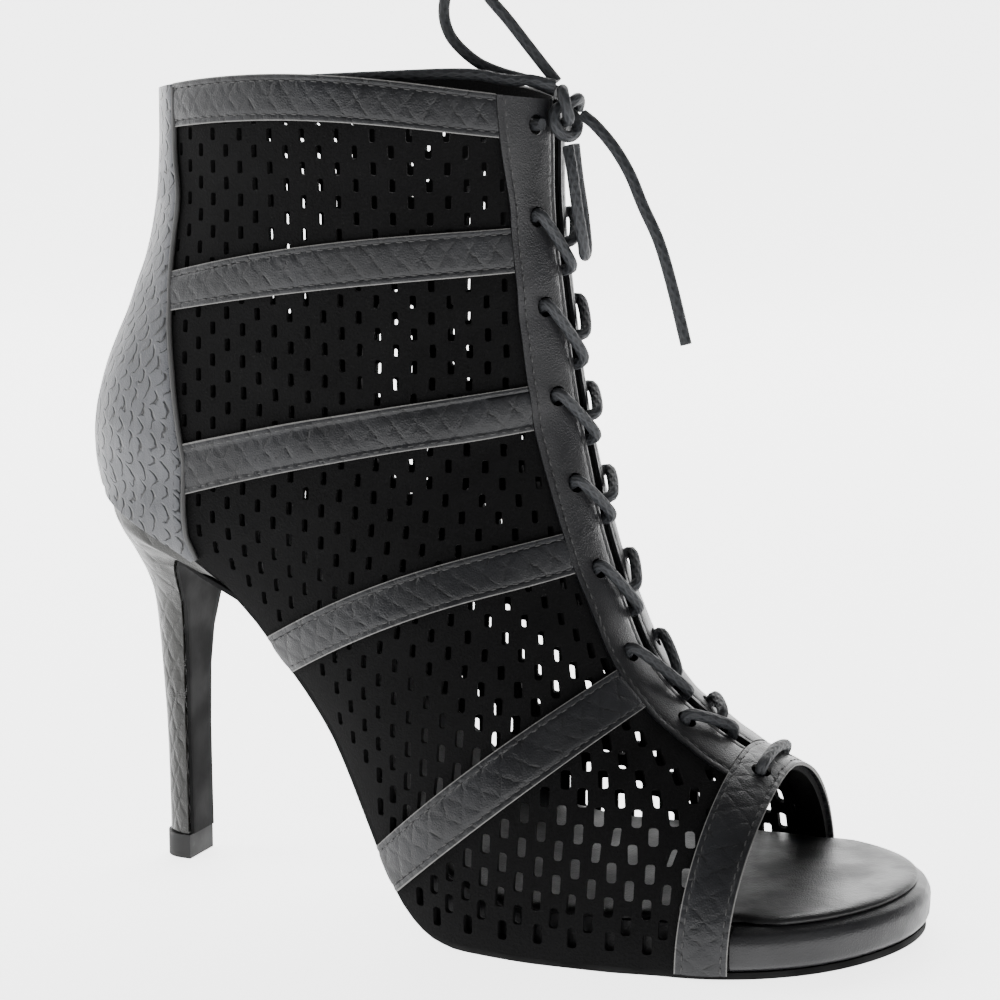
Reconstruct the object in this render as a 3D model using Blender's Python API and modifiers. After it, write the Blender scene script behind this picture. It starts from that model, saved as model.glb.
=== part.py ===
"""Lace-up open-toe ankle bootie on a stiletto heel, right shoe, as separate sewn and lasted pieces.

The design frame is in millimetres: x runs from the back of the heel to the toe, y to the inner side
of the foot, z up from the floor. The finished part is in metres with its origin on the floor under
the middle of the tread, so DATUM_X is taken off every x.

The upper is one surface, skin(side, u, v): u runs over sections that fan from the toe strap, u = 0,
to the collar, u = 1, and v runs down each section from the throat, v = 0, to the sole or the back
seam, v = 1. Every panel that lies on the upper is a patch of that same surface, a little proud of it.
"""

import functools
import math

import bmesh
import bpy
import numpy as np
from mathutils import Matrix, Vector

MM = 0.001
LATERAL, MEDIAL = -1, 1

# Driving sizes, in millimetres
LENGTH = 213.0  # heel bulge to toe tip, along the floor
BALL_WIDTH = 84.0
SEAT_WIDTH = 50.0
ANKLE_WIDTH = 60.0
HEEL_HEIGHT = 96.0  # back of the seat above the forefoot's tread
SHAFT_HEIGHT = 102.0  # collar above the back of the seat
WALL = 1.4  # suede and its lining
LEATHER = 0.8  # panels that lie on the suede
GAP = 0.3  # between pieces that touch on the real shoe
SEAM_GAP = 0.65  # from the sole and the heel up to the edge of the upper, which leans
OUTSOLE = 1.6
FLAP = 1.0  # the outsole where it runs down the front of the heel
PLATFORM = 9.5
INSOLE = 2.2
STRAP_WIDTH = 11.5
EYESTAY_WIDTH = 13.0
EYESTAY_FLARE = 3.2  # the eyestay is this much wider at the collar
THROAT_GAP = 4.2
EYELET_COUNT = 9
EYELET_PITCH = 20.8
EYELET_TOP = 6.0  # collar edge to the first eyelet
EYELET_INSET = 6.4  # throat edge to the eyelet's middle
EYELET_HOLE = 4.8
LACE = 2.7
KNOT_HEIGHT = 14.0
KNOT_DEPTH = 6.2
KNOT_PROUD = 4.4  # throat edge to the knot's middle
KNOT_DROP = 3.2  # collar's throat corner down to the knot's middle
TOP_LIFT_HEIGHT = 6.3
TOP_LIFT_WIDTH = 12.0
TOP_LIFT_LENGTH = 8.8
SEAT_OVERHANG = 2.0  # the heel bulge stands behind the seat by this
SEAT_ROUND = 28.0  # length of the rounded back of the seat
TOE_ROUND = 48.0  # length of the rounded toe
OUTSOLE_INSET = 1.2
PLATFORM_INSET = 0.2
INSOLE_INSET = 4.4
UPPER_TUCK = 1.2  # the upper stops this far behind the strap's front edge

DATUM_X = 0.648 * LENGTH
SEAT_X = SEAT_OVERHANG + SEAT_ROUND
STRAP_FOOT_X = 0.835 * LENGTH
STRAP_SKEW = 3.0  # the strap's inner foot stands this far in front of its outer one
SOLE_EDGE = WALL + GAP

# Plan outline of the sole: station along LENGTH, half width as a share of SEAT_WIDTH plus a share of
# BALL_WIDTH, and the middle line's shift to the inner side as a share of BALL_WIDTH
OUTLINE_COLUMNS = ("at", "seat", "ball", "shift")
OUTLINE = (
    (0.000, 0.500, 0.000, 0.000),
    (0.113, 0.500, 0.000, 0.000),
    (0.205, 0.490, 0.000, -0.004),
    (0.282, 0.240, 0.150, -0.022),
    (0.352, 0.120, 0.240, -0.034),
    (0.423, 0.000, 0.372, -0.041),
    (0.493, 0.000, 0.438, -0.041),
    (0.563, 0.000, 0.481, -0.035),
    (0.634, 0.000, 0.500, -0.024),
    (0.704, 0.000, 0.500, -0.008),
    (0.775, 0.000, 0.488, 0.013),
    (0.880, 0.000, 0.488, 0.040),
    (1.000, 0.000, 0.488, 0.070),
)

# Seam line where the upper meets the sole: height above the outsole as a share of HEEL_HEIGHT, and
# the thickness of the platform above it as a share of PLATFORM
SEAM_COLUMNS = ("at", "height", "pad")
SEAM = (
    (0.009, 1.000, 0.00),
    (0.070, 0.951, 0.00),
    (0.117, 0.911, 0.00),
    (0.155, 0.872, 0.00),
    (0.183, 0.833, 0.00),
    (0.211, 0.792, 0.00),
    (0.235, 0.750, 0.00),
    (0.263, 0.696, 0.00),
    (0.286, 0.640, 0.02),
    (0.315, 0.575, 0.08),
    (0.338, 0.516, 0.17),
    (0.362, 0.448, 0.35),
    (0.385, 0.365, 0.62),
    (0.408, 0.276, 0.98),
    (0.432, 0.188, 1.30),
    (0.455, 0.109, 1.50),
    (0.479, 0.050, 1.57),
    (0.507, 0.013, 1.48),
    (0.540, 0.000, 1.26),
    (0.580, 0.000, 1.07),
    (0.615, 0.000, 1.00),
    (0.775, 0.000, 1.00),
    (0.845, 0.003, 1.00),
    (0.915, 0.009, 1.00),
    (1.000, 0.023, 1.00),
)

# Front seam of the counter: rise above the seat as a share of SHAFT_HEIGHT, x as a share of LENGTH
COUNTER_COLUMNS = ("rise", "x")
COUNTER = (
    (-0.15, 0.1800),
    (-0.08, 0.1700),
    (0.00, 0.1680),
    (0.08, 0.1680),
    (0.18, 0.1600),
    (0.30, 0.1530),
    (0.45, 0.1480),
    (0.60, 0.1500),
    (0.72, 0.1560),
    (0.84, 0.1500),
    (1.00, 0.1500),
)

# Back line of the upper above the seat: rise as a share of SHAFT_HEIGHT, x as a share of LENGTH
BACK_COLUMNS = ("rise", "x")
BACK = (
    (0.00, 0.0094),
    (0.05, 0.0036),
    (0.13, 0.0000),
    (0.18, 0.0020),
    (0.24, 0.0085),
    (0.30, 0.0175),
    (0.36, 0.0300),
    (0.43, 0.0465),
    (0.49, 0.0585),
    (0.57, 0.0740),
    (0.66, 0.0850),
    (0.74, 0.0910),
    (0.85, 0.0945),
    (1.00, 0.0960),
)

# Sections of the upper. The throat point is a share of LENGTH and of the collar's height, foot is a
# place on the foot line (0 to 1 along the sole, 1 to 2 round the seat, 2 to 3 up the back), crown a
# share of SHAFT_HEIGHT, the half width a share of BALL_WIDTH plus a share of ANKLE_WIDTH, and shift
# a share of BALL_WIDTH. A lower power makes a squarer section, in front of its widest point or behind.
SECTION_COLUMNS = ("throat_x", "throat_z", "foot", "crown", "ball", "ankle", "shift", "front", "rear")
SECTIONS = (
    (0.8510, 0.2020, 0.000, 0.000, 0.471, 0.000, 0.022, 1.22, 1.00),
    (0.8020, 0.2200, 0.072, 0.000, 0.490, 0.000, 0.016, 1.08, 1.00),
    (0.7530, 0.2510, 0.292, 0.000, 0.505, 0.000, -0.020, 0.90, 1.00),
    (0.7120, 0.2860, 0.542, 0.005, 0.478, 0.000, -0.032, 0.86, 1.00),
    (0.6800, 0.3270, 0.584, 0.010, 0.455, 0.000, -0.034, 0.87, 1.00),
    (0.6560, 0.3860, 0.670, 0.020, 0.250, 0.240, -0.030, 0.90, 0.98),
    (0.6400, 0.4370, 0.761, 0.030, 0.120, 0.380, -0.024, 0.93, 0.95),
    (0.6270, 0.4820, 0.810, 0.035, 0.060, 0.440, -0.018, 0.95, 0.90),
    (0.6150, 0.5430, 0.955, 0.030, 0.000, 0.500, -0.010, 0.97, 0.80),
    (0.6030, 0.6030, 1.380, 0.024, 0.000, 0.492, -0.004, 1.00, 0.72),
    (0.5955, 0.6480, 2.000, 0.022, 0.000, 0.488, 0.000, 1.00, 0.72),
    (0.5945, 0.6540, 2.050, 0.022, 0.000, 0.487, 0.000, 1.00, 0.72),
    (0.5900, 0.6870, 2.130, 0.021, 0.000, 0.485, 0.000, 1.00, 0.75),
    (0.5860, 0.7170, 2.235, 0.020, 0.000, 0.487, 0.000, 1.00, 0.79),
    (0.5770, 0.7850, 2.407, 0.022, 0.000, 0.497, 0.000, 1.00, 0.87),
    (0.5710, 0.8350, 2.495, 0.032, 0.000, 0.503, 0.000, 1.00, 0.90),
    (0.5685, 0.8840, 2.686, 0.034, 0.000, 0.510, 0.000, 1.00, 0.93),
    (0.5680, 0.9330, 2.868, 0.040, 0.000, 0.517, 0.000, 1.00, 0.94),
    (0.5660, 0.9810, 2.966, 0.046, 0.000, 0.522, 0.000, 1.00, 0.94),
)
# Rows of SECTIONS that are the lower and upper edges of the bands, from the lowest to the highest
BANDS = ((3, 4), (6, 7), (9, 11), (14, 15))
COLLAR_BAND = (17, 18)

# Routes of the free cords from the knot's middle, as shares of SHAFT_HEIGHT
CORD_COLUMNS = ("forward", "inward", "up")
LOOP_A = (
    (-0.035, 0.025, 0.049),
    (-0.106, 0.029, 0.073),
    (-0.174, 0.015, 0.092),
    (-0.228, 0.000, 0.118),
    (-0.280, -0.005, 0.164),
    (-0.302, -0.005, 0.209),
    (-0.302, -0.005, 0.254),
    (-0.286, -0.005, 0.285),
    (-0.251, -0.005, 0.300),
    (-0.214, -0.005, 0.286),
    (-0.185, -0.005, 0.253),
    (-0.146, -0.005, 0.212),
    (-0.102, 0.000, 0.158),
    (-0.065, 0.010, 0.110),
    (-0.032, 0.015, 0.070),
)
LOOP_B = (
    (0.016, -0.035, -0.074),
    (0.032, -0.049, -0.130),
    (0.045, -0.050, -0.212),
    (0.052, -0.034, -0.281),
    (0.046, -0.005, -0.320),
    (0.039, 0.025, -0.301),
    (0.025, 0.039, -0.227),
    (0.013, 0.036, -0.149),
    (0.007, 0.025, -0.070),
)
END_A = (
    (0.035, 0.006, -0.003),
    (0.069, 0.000, -0.027),
    (0.116, -0.005, -0.076),
    (0.158, -0.015, -0.135),
    (0.193, -0.025, -0.204),
    (0.235, -0.034, -0.282),
    (0.271, -0.044, -0.381),
    (0.309, -0.054, -0.509),
)
END_B = (
    (-0.019, -0.026, 0.062),
    (-0.074, -0.044, 0.075),
    (-0.100, -0.054, 0.073),
    (-0.133, -0.083, 0.077),
    (-0.170, -0.113, 0.086),
    (-0.225, -0.152, 0.088),
    (-0.326, -0.201, 0.084),
    (-0.437, -0.230, 0.079),
    (-0.527, -0.240, 0.075),
)

# Heel, from the seat to the top lift: back and front of each section as shares of LENGTH and of
# HEEL_HEIGHT, half width as a share of SEAT_WIDTH, and the rounded share of the section's length
HEEL_COLUMNS = ("back_x", "back_z", "front_x", "front_z", "half", "round")
HEEL = (
    (0.0094, 1.000, 0.2110, 0.792, 0.500, 0.65),
    (0.0150, 0.962, 0.1800, 0.815, 0.480, 0.67),
    (0.0250, 0.912, 0.1520, 0.838, 0.440, 0.70),
    (0.0360, 0.865, 0.1330, 0.832, 0.390, 0.76),
    (0.0450, 0.822, 0.1230, 0.800, 0.335, 0.80),
    (0.0510, 0.770, 0.1165, 0.758, 0.265, 0.90),
    (0.0560, 0.700, 0.1115, 0.697, 0.190, 1.00),
    (0.0590, 0.605, 0.1070, 0.605, 0.143, 1.00),
    (0.0620, 0.500, 0.1045, 0.500, 0.122, 1.00),
    (0.0665, 0.335, 0.1035, 0.335, 0.115, 1.00),
    (0.0680, 0.180, 0.1040, 0.180, 0.113, 1.00),
)
HEEL_FOOT_BACK = 0.0685
HEEL_FOOT_FRONT = 0.1045
HEEL_FOOT_HALF = 0.113


def column(table, names, name):
    place = names.index(name)
    return np.array([row[place] for row in table])


def smooth(at, xs, ys):
    """Cubic through the points (xs, ys) that keeps level stretches level."""
    step = np.diff(xs)
    rise = np.diff(ys) / step
    both = rise[:-1] * rise[1:]
    total = np.where(both > 0, rise[:-1] + rise[1:], 1.0)
    slope = np.concatenate([rise[:1], np.where(both > 0, 2 * both / total, 0.0), rise[-1:]])
    i = int(np.clip(np.searchsorted(xs, at) - 1, 0, len(step) - 1))
    t = min(max((at - xs[i]) / step[i], 0.0), 1.0)
    h = step[i]
    return float(
        ys[i] * (1 + 2 * t) * (1 - t) ** 2
        + h * slope[i] * t * (1 - t) ** 2
        + ys[i + 1] * t * t * (3 - 2 * t)
        + h * slope[i + 1] * t * t * (t - 1)
    )


def ease(t):
    t = min(max(t, 0.0), 1.0)
    return t * t * (3 - 2 * t)


def solve(function, low, high, target):
    """Where a function that rises or falls from low to high reaches the target."""
    rising = function(high) > function(low)
    for _ in range(22):
        middle = (low + high) / 2
        if (function(middle) < target) == rising:
            low = middle
        else:
            high = middle
    return (low + high) / 2


@functools.lru_cache(maxsize=None)
def plan(x):
    """Half width and middle line of the sole's outline at x, before its rounded ends."""
    at = column(OUTLINE, OUTLINE_COLUMNS, "at")
    half = SEAT_WIDTH * smooth(x / LENGTH, at, column(OUTLINE, OUTLINE_COLUMNS, "seat"))
    half += BALL_WIDTH * smooth(x / LENGTH, at, column(OUTLINE, OUTLINE_COLUMNS, "ball"))
    shift = BALL_WIDTH * smooth(x / LENGTH, at, column(OUTLINE, OUTLINE_COLUMNS, "shift"))
    return half, shift


def edge_y(side, x, inset=0.0):
    """The sole's edge at x on one side, moved in by inset."""
    half, shift = plan(x)
    half -= inset
    toe = LENGTH - TOE_ROUND
    if x > toe:
        half *= math.sqrt(max(0.0, 1 - ((x - toe) / (TOE_ROUND - inset)) ** 2))
    if x < SEAT_X:
        half *= math.sqrt(max(0.0, 1 - ((SEAT_X - x) / (SEAT_ROUND - inset)) ** 2))
    return shift + side * half


@functools.lru_cache(maxsize=None)
def seam_z(x):
    """Top of the outsole and of the heel, where the upper ends."""
    at = column(SEAM, SEAM_COLUMNS, "at")
    return OUTSOLE + HEEL_HEIGHT * smooth(x / LENGTH, at, column(SEAM, SEAM_COLUMNS, "height"))


@functools.lru_cache(maxsize=None)
def pad_z(x):
    """Thickness of the platform at x."""
    at = column(SEAM, SEAM_COLUMNS, "at")
    return PLATFORM * smooth(x / LENGTH, at, column(SEAM, SEAM_COLUMNS, "pad"))


def strap_foot_x(side):
    return STRAP_FOOT_X + (STRAP_SKEW if side == MEDIAL else 0.0)


def foot_point(side, foot):
    """Point of the foot line: along the sole's edge, round the seat, then up the back."""
    if foot <= 1:
        front = strap_foot_x(side)
        x = front + (SEAT_X - front) * foot
        return x, edge_y(side, x), seam_z(x) + SEAM_GAP
    if foot <= 2:
        turn = (foot - 1) * math.pi / 2
        x = SEAT_X - SEAT_ROUND * math.sin(turn)
        return x, side * SEAT_WIDTH / 2 * math.cos(turn), seam_z(x) + SEAM_GAP
    rise = foot - 2
    x = LENGTH * smooth(rise, column(BACK, BACK_COLUMNS, "rise"), column(BACK, BACK_COLUMNS, "x"))
    return x, 0.0, seam_z(SEAT_OVERHANG) + SEAM_GAP + rise * SHAFT_HEIGHT


def section_places():
    """u of each row of SECTIONS, spaced by how far its ends lie from the row before."""
    collar = HEEL_HEIGHT + SHAFT_HEIGHT
    ends = [
        (LENGTH * row[0], collar * row[1], *foot_point(LATERAL, row[2])) for row in SECTIONS
    ]
    steps = [math.dist(a, b) for a, b in zip(ends, ends[1:])]
    places = np.concatenate([[0.0], np.cumsum(steps)])
    return places / places[-1]


SECTION_U = section_places()
ROWS_PER_STEP = (1, 3, 5, 1, 2, 2, 1, 2, 2, 4, 1, 1, 1, 2, 1, 2, 2, 1)
STAY_CELLS, SIDE_CELLS, BACK_CELLS = 2, 6, 4


def row_places():
    """u of each row of the upper's mesh: the rows of SECTIONS and some between them."""
    places = [0.0]
    for low, high, count in zip(SECTION_U, SECTION_U[1:], ROWS_PER_STEP):
        places += [low + (high - low) * (i + 1) / count for i in range(count)]
    return places


def between(lines, share):
    """Value this share of the way along a list of values."""
    return float(np.interp(share * (len(lines) - 1), range(len(lines)), lines))


@functools.lru_cache(maxsize=None)
def station(u):
    """Values of SECTIONS at u."""
    return {
        name: smooth(u, SECTION_U, column(SECTIONS, SECTION_COLUMNS, name))
        for name in SECTION_COLUMNS
    }


@functools.lru_cache(maxsize=None)
def surface(side, u, v):
    row = station(u)
    throat_x = LENGTH * row["throat_x"]
    throat_z = (HEEL_HEIGHT + SHAFT_HEIGHT) * row["throat_z"]
    foot_x, foot_y, foot_z = foot_point(side, row["foot"])
    half = BALL_WIDTH * row["ball"] + ANKLE_WIDTH * row["ankle"]
    shift = BALL_WIDTH * row["shift"]
    reach = min(max(side * (foot_y - shift) / half, 0.0), 1.0)
    start = math.asin((THROAT_GAP / 2 / half) ** (1 / row["front"]))
    end = math.pi - math.asin(reach ** (1 / row["rear"]))
    turn = start + v * (end - start)
    along = (1 - math.cos(turn)) / (1 - math.cos(end))
    run_x, run_z = throat_x - foot_x, throat_z - foot_z
    span = math.hypot(run_x, run_z)
    lift = SHAFT_HEIGHT * row["crown"] * math.sin(math.pi * along) / span
    x = throat_x - run_x * along - run_z * lift
    z = throat_z - run_z * along + run_x * lift
    power = row["front"] if turn < math.pi / 2 else row["rear"]
    return np.array([x, shift * along + side * half * max(0.0, math.sin(turn)) ** power, z])


@functools.lru_cache(maxsize=None)
def outward(side, u, v):
    """Unit normal of the surface, away from the foot."""
    du, dv = 0.006, 0.015
    along_u = surface(side, min(u + du, 1.0), v) - surface(side, max(u - du, 0.0), v)
    along_v = surface(side, u, min(v + dv, 1.0)) - surface(side, u, max(v - dv, 0.0))
    normal = side * np.cross(along_v, along_u)
    if v > 0.999 and station(u)["foot"] >= 2:
        normal[1] = 0.0
    return normal / np.linalg.norm(normal)


def skin(side, u, v, proud=0.0):
    return surface(side, u, v) + proud * outward(side, u, v)


@functools.lru_cache(maxsize=None)
def v_from_throat(side, u, distance):
    """v that lies this far down the section from the throat edge."""
    start = surface(side, u, 0.0)
    return solve(lambda v: np.linalg.norm(surface(side, u, v) - start), 0.0, 0.5, distance)


def past_counter(point, ahead):
    """How far a point lies in front of a line this far ahead of the counter's front seam."""
    rise = (point[2] - seam_z(SEAT_OVERHANG)) / SHAFT_HEIGHT
    rises = column(COUNTER, COUNTER_COLUMNS, "rise")
    seam = smooth(rise, rises, column(COUNTER, COUNTER_COLUMNS, "x"))
    return point[0] - LENGTH * seam - ahead


@functools.lru_cache(maxsize=None)
def v_at_counter(side, u, ahead=0.0):
    """v where the section passes the counter's front seam, or 1 where all of it lies in front."""
    if past_counter(surface(side, u, 1.0), ahead) >= 0:
        return 1.0
    return solve(lambda v: past_counter(surface(side, u, v), ahead), 0.3, 1.0, 0.0)


@functools.lru_cache(maxsize=None)
def u_beside(side, u, v, distance):
    """u that lies this far from u at the same v: up for a positive distance, down for a negative."""
    start = surface(side, u, v)
    limit = 1.0 if distance > 0 else 0.0
    if np.linalg.norm(surface(side, limit, v) - start) < abs(distance):
        return limit
    share = solve(
        lambda t: np.linalg.norm(surface(side, u + t * (limit - u), v) - start),
        0.0,
        min(1.0, 0.4 / abs(limit - u)),
        abs(distance),
    )
    return u + share * (limit - u)


def strap_back_u(side, v):
    return u_beside(side, 0.0, v, STRAP_WIDTH)


def eyelet_u(number):
    """u of an eyelet, the first at the collar, the last on the toe strap."""
    wanted = EYELET_TOP + number * EYELET_PITCH
    steps = 200
    travelled = 0.0
    for i in range(steps):
        u, below = 1 - i / steps, 1 - (i + 1) / steps
        step = np.linalg.norm(surface(LATERAL, u, 0.0) - surface(LATERAL, below, 0.0))
        if travelled + step >= wanted:
            return u - (wanted - travelled) / step / steps
        travelled += step
    raise ValueError("the eyelets reach past the toe strap")


def new_material(name, colour, roughness, metallic=0.0):
    material = bpy.data.materials.new(name)
    material.use_nodes = True
    shader = material.node_tree.nodes["Principled BSDF"]
    shader.inputs["Base Color"].default_value = (*colour, 1.0)
    shader.inputs["Roughness"].default_value = roughness
    shader.inputs["Metallic"].default_value = metallic
    return material


def to_world(point):
    return Vector(((point[0] - DATUM_X) * MM, point[1] * MM, point[2] * MM))


def new_object(name, data, material, collection):
    piece = bpy.data.objects.new(name, data)
    if material is not None:
        data.materials.append(material)
    collection.objects.link(piece)
    return piece


def mesh_object(name, bm, material, collection, sharp=40.0):
    mesh = bpy.data.meshes.new(name)
    bm.to_mesh(mesh)
    bm.free()
    mesh.shade_smooth()
    mesh.set_sharp_from_angle(angle=math.radians(sharp))
    return new_object(name, mesh, material, collection)


def add_sheet(bm, place, columns, rows, facing):
    """Adds a grid bent by place(a, b), a and b from 0 to 1, its faces turned to the facing vector."""
    made = bmesh.ops.create_grid(bm, x_segments=columns, y_segments=rows, size=1.0)["verts"]
    faces = {face for vert in made for face in vert.link_faces}
    for vert in made:
        a = round((vert.co.x + 1) / 2, 6)
        b = round((vert.co.y + 1) / 2, 6)
        vert.co = to_world(place(a, b))
    for face in faces:
        face.normal_update()
    towards = sum(face.normal.dot(facing) * face.calc_area() for face in faces)
    if towards < 0:
        bmesh.ops.reverse_faces(bm, faces=list(faces))


def thicken(piece, thickness, outwards):
    wall = piece.modifiers.new("Wall", "SOLIDIFY")
    wall.thickness = thickness * MM
    wall.offset = 1.0 if outwards else -1.0
    wall.use_even_offset = True
    wall.use_rim = True
    return wall


def cut(piece, cutter):
    boolean = piece.modifiers.new("Holes", "BOOLEAN")
    boolean.operation = "DIFFERENCE"
    boolean.solver = "EXACT"
    boolean.object = cutter


def side_facing(side):
    return Vector((0.2, side, 0.3))


def panel(name, sides, material, collection, columns, rows, gap=GAP):
    """A leather panel on the upper. sides holds a side and its place function, (a, b) to (u, v)."""
    bm = bmesh.new()
    for side, place in sides:
        add_sheet(
            bm,
            lambda a, b, side=side, place=place: skin(side, *place(side, a, b), gap),
            columns,
            rows,
            side_facing(side),
        )
    bmesh.ops.remove_doubles(bm, verts=bm.verts, dist=0.02 * MM)
    piece = mesh_object(name, bm, material, collection)
    thicken(piece, LEATHER, outwards=True)
    return piece


@functools.lru_cache(maxsize=None)
def v_lines(side, u):
    """v of the mesh's columns: the eyestay's, those of the side, and those under the counter."""
    stay = v_from_throat(side, u, eyestay_width(u))
    seam = min(v_at_counter(side, u), 0.82)
    lines = [stay * i / STAY_CELLS for i in range(STAY_CELLS)]
    lines += [stay + (seam - stay) * i / SIDE_CELLS for i in range(SIDE_CELLS)]
    lines += [seam + (1 - seam) * i / BACK_CELLS for i in range(BACK_CELLS + 1)]
    return lines


def over_toe(place):
    """The stretch of a sheet that joins its two sides over the toes."""

    def joined(a, b):
        left, right = place(LATERAL)(a, 0.0), place(MEDIAL)(a, 0.0)
        return left + (right - left) * b

    return joined


def build_upper(material, collection, cutter):
    """The hollow suede upper: both sides joined at the back and under the toe strap."""
    rows = row_places()
    columns = STAY_CELLS + SIDE_CELLS + BACK_CELLS

    def place(side):
        def bent(a, b):
            u = between(rows, a)
            v = between(v_lines(side, u), b)
            if a == 0:
                return skin(side, u_beside(side, 0.0, v, UPPER_TUCK), v)
            return skin(side, u, v)

        return bent

    bm = bmesh.new()
    for side in (LATERAL, MEDIAL):
        add_sheet(bm, place(side), len(rows) - 1, columns, side_facing(side))
    add_sheet(
        bm, lambda a, b: over_toe(place)(a / (len(rows) - 1), b), 1, 1, Vector((0.3, 0, 1))
    )
    bmesh.ops.remove_doubles(bm, verts=bm.verts, dist=0.02 * MM)
    piece = mesh_object("upper", bm, material, collection)
    thicken(piece, WALL, outwards=False)
    cut(piece, cutter)


def build_toe_strap(material, collection, cutter):
    """The strap over the toes, from one side of the sole to the other."""

    def place(side):
        def bent(a, b):
            v = between(v_lines(side, 0.0), b)
            return skin(side, strap_back_u(side, v) * a, v, GAP)

        return bent

    bm = bmesh.new()
    for side in (LATERAL, MEDIAL):
        columns = STAY_CELLS + SIDE_CELLS + BACK_CELLS
        add_sheet(bm, place(side), 2, columns, side_facing(side))
    add_sheet(bm, over_toe(place), 2, 1, Vector((0.3, 0, 1)))
    bmesh.ops.remove_doubles(bm, verts=bm.verts, dist=0.02 * MM)
    piece = mesh_object("toe_strap", bm, material, collection)
    thicken(piece, LEATHER, outwards=True)
    cut(piece, cutter)


def eyestay_width(u):
    return EYESTAY_WIDTH + EYESTAY_FLARE * ease((u - 0.86) / 0.14)


def build_eyestays(material, collection, cutter):
    rows = [u for u in row_places() if u > 0.08]

    def place(side, a, b):
        start = u_beside(side, strap_back_u(side, 0.0), 0.0, GAP)
        for _ in range(3):
            across = v_from_throat(side, start, EYESTAY_WIDTH * b) if b else 0.0
            start = u_beside(side, strap_back_u(side, across), across, GAP)
        u = between([start, *rows], a)
        return u, v_from_throat(side, u, eyestay_width(u)) * b

    for side, name in ((LATERAL, "eyestay_lateral"), (MEDIAL, "eyestay_medial")):
        piece = panel(name, ((side, place),), material, collection, len(rows), STAY_CELLS)
        cut(piece, cutter)


def build_counter(material, collection):
    """The heel panel, from the seat to the collar, in one piece round the back."""
    start = {
        side: solve(
            lambda u: past_counter(surface(side, u, 1.0), 0.0), SECTION_U[7], SECTION_U[10], 0.0
        )
        for side in (LATERAL, MEDIAL)
    }
    above = [u for u in row_places() if u > max(start.values()) + 0.01]

    def place(side, a, b):
        u = between([start[side], *above], a)
        edge = v_at_counter(side, u)
        return u, edge + (1 - edge) * b

    sides = [(side, place) for side in (LATERAL, MEDIAL)]
    panel("counter", sides, material, collection, len(above), BACK_CELLS, 1.4 * GAP)


def build_band(name, low, high, material, collection):
    """A band on each side, from the eyestay to the counter or the sole, between two sections."""
    rows = [u for u in row_places() if SECTION_U[low] <= u <= SECTION_U[high]]
    meets_counter = v_at_counter(LATERAL, SECTION_U[low]) < 1

    def place(side, a, b):
        u = between(rows, a)
        lines = list(v_lines(side, u)[STAY_CELLS:])
        lines[0] = v_from_throat(side, u, eyestay_width(u) + GAP)
        if meets_counter:
            lines = lines[: SIDE_CELLS + 1]
            lines[-1] = v_at_counter(side, u, GAP)
        return u, between(lines, b)

    columns = SIDE_CELLS + (0 if meets_counter else BACK_CELLS)
    for side, where in ((LATERAL, "lateral"), (MEDIAL, "medial")):
        sides = ((side, place),)
        panel(f"{name}_{where}", sides, material, collection, len(rows) - 1, columns)


def ring_stations(start, end, count, round_start, round_end):
    """x places from start to end, closer together towards a rounded end."""
    places = []
    for i in range(count + 1):
        t = i / count
        if round_start and round_end:
            t = (1 - math.cos(math.pi * t)) / 2
        elif round_end:
            t = math.sin(math.pi / 2 * t)
        places.append(start + (end - start) * t)
    return places


def stacked_rings(name, rings, material, collection):
    """A closed solid through rings of left and right points, each ring one above the other."""
    bm = bmesh.new()
    levels = [
        [(bm.verts.new(to_world(left)), bm.verts.new(to_world(right))) for left, right in ring]
        for ring in rings
    ]
    loops = [
        [left for left, _ in level] + [right for _, right in reversed(level)] for level in levels
    ]
    for lower, upper in zip(loops, loops[1:]):
        for i, vert in enumerate(lower):
            after = (i + 1) % len(lower)
            bm.faces.new((vert, lower[after], upper[after], upper[i]))
    for level in (levels[0], levels[-1]):
        for (left, right), (next_left, next_right) in zip(level, level[1:]):
            bm.faces.new((left, right, next_right, next_left))
    bmesh.ops.remove_doubles(bm, verts=bm.verts, dist=0.01 * MM)
    bmesh.ops.dissolve_degenerate(bm, edges=bm.edges, dist=0.005 * MM)
    bmesh.ops.recalc_face_normals(bm, faces=bm.faces)
    return mesh_object(name, bm, material, collection)


def platform_stations():
    """x of the platform's stations, with a step at the front edge of the toe strap."""
    tip = LENGTH - PLATFORM_INSET
    behind = ring_stations(0.375 * LENGTH, STRAP_FOOT_X, 16, False, False)
    return behind, ring_stations(STRAP_FOOT_X + 0.5, tip, 14, False, True)


def build_platform(material, collection):
    """The wrapped platform: tucked inside the upper, and out to the edge in front of the strap."""
    lean = 2.6  # the upper leans in by this at the platform's top
    profile = ((0.00, 1.2), (0.14, 0.2), (0.60, 0.0), (0.86, 0.9), (1.00, 3.2))  # height, inset
    behind, in_front = platform_stations()

    def level(height, inset):
        ring = []
        for x in behind + in_front:
            if x in behind:
                moved_in = SOLE_EDGE + lean * height + 0.4
            else:
                moved_in = PLATFORM_INSET + inset
            if x > in_front[0]:
                shorter = (LENGTH - moved_in - in_front[0]) / (in_front[-1] - in_front[0])
                x = in_front[0] + (x - in_front[0]) * shorter
            pair = []
            for side in (LATERAL, MEDIAL):
                nearness = max(0.0, 1 - abs(x - STRAP_FOOT_X) / 28)
                across = x + (strap_foot_x(side) - STRAP_FOOT_X) * nearness
                z = seam_z(across) + GAP + pad_z(across) * height
                pair.append((across, edge_y(side, across, moved_in), z))
            ring.append(pair)
        return ring

    stacked_rings("platform", [level(*row) for row in profile], material, collection)


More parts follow.
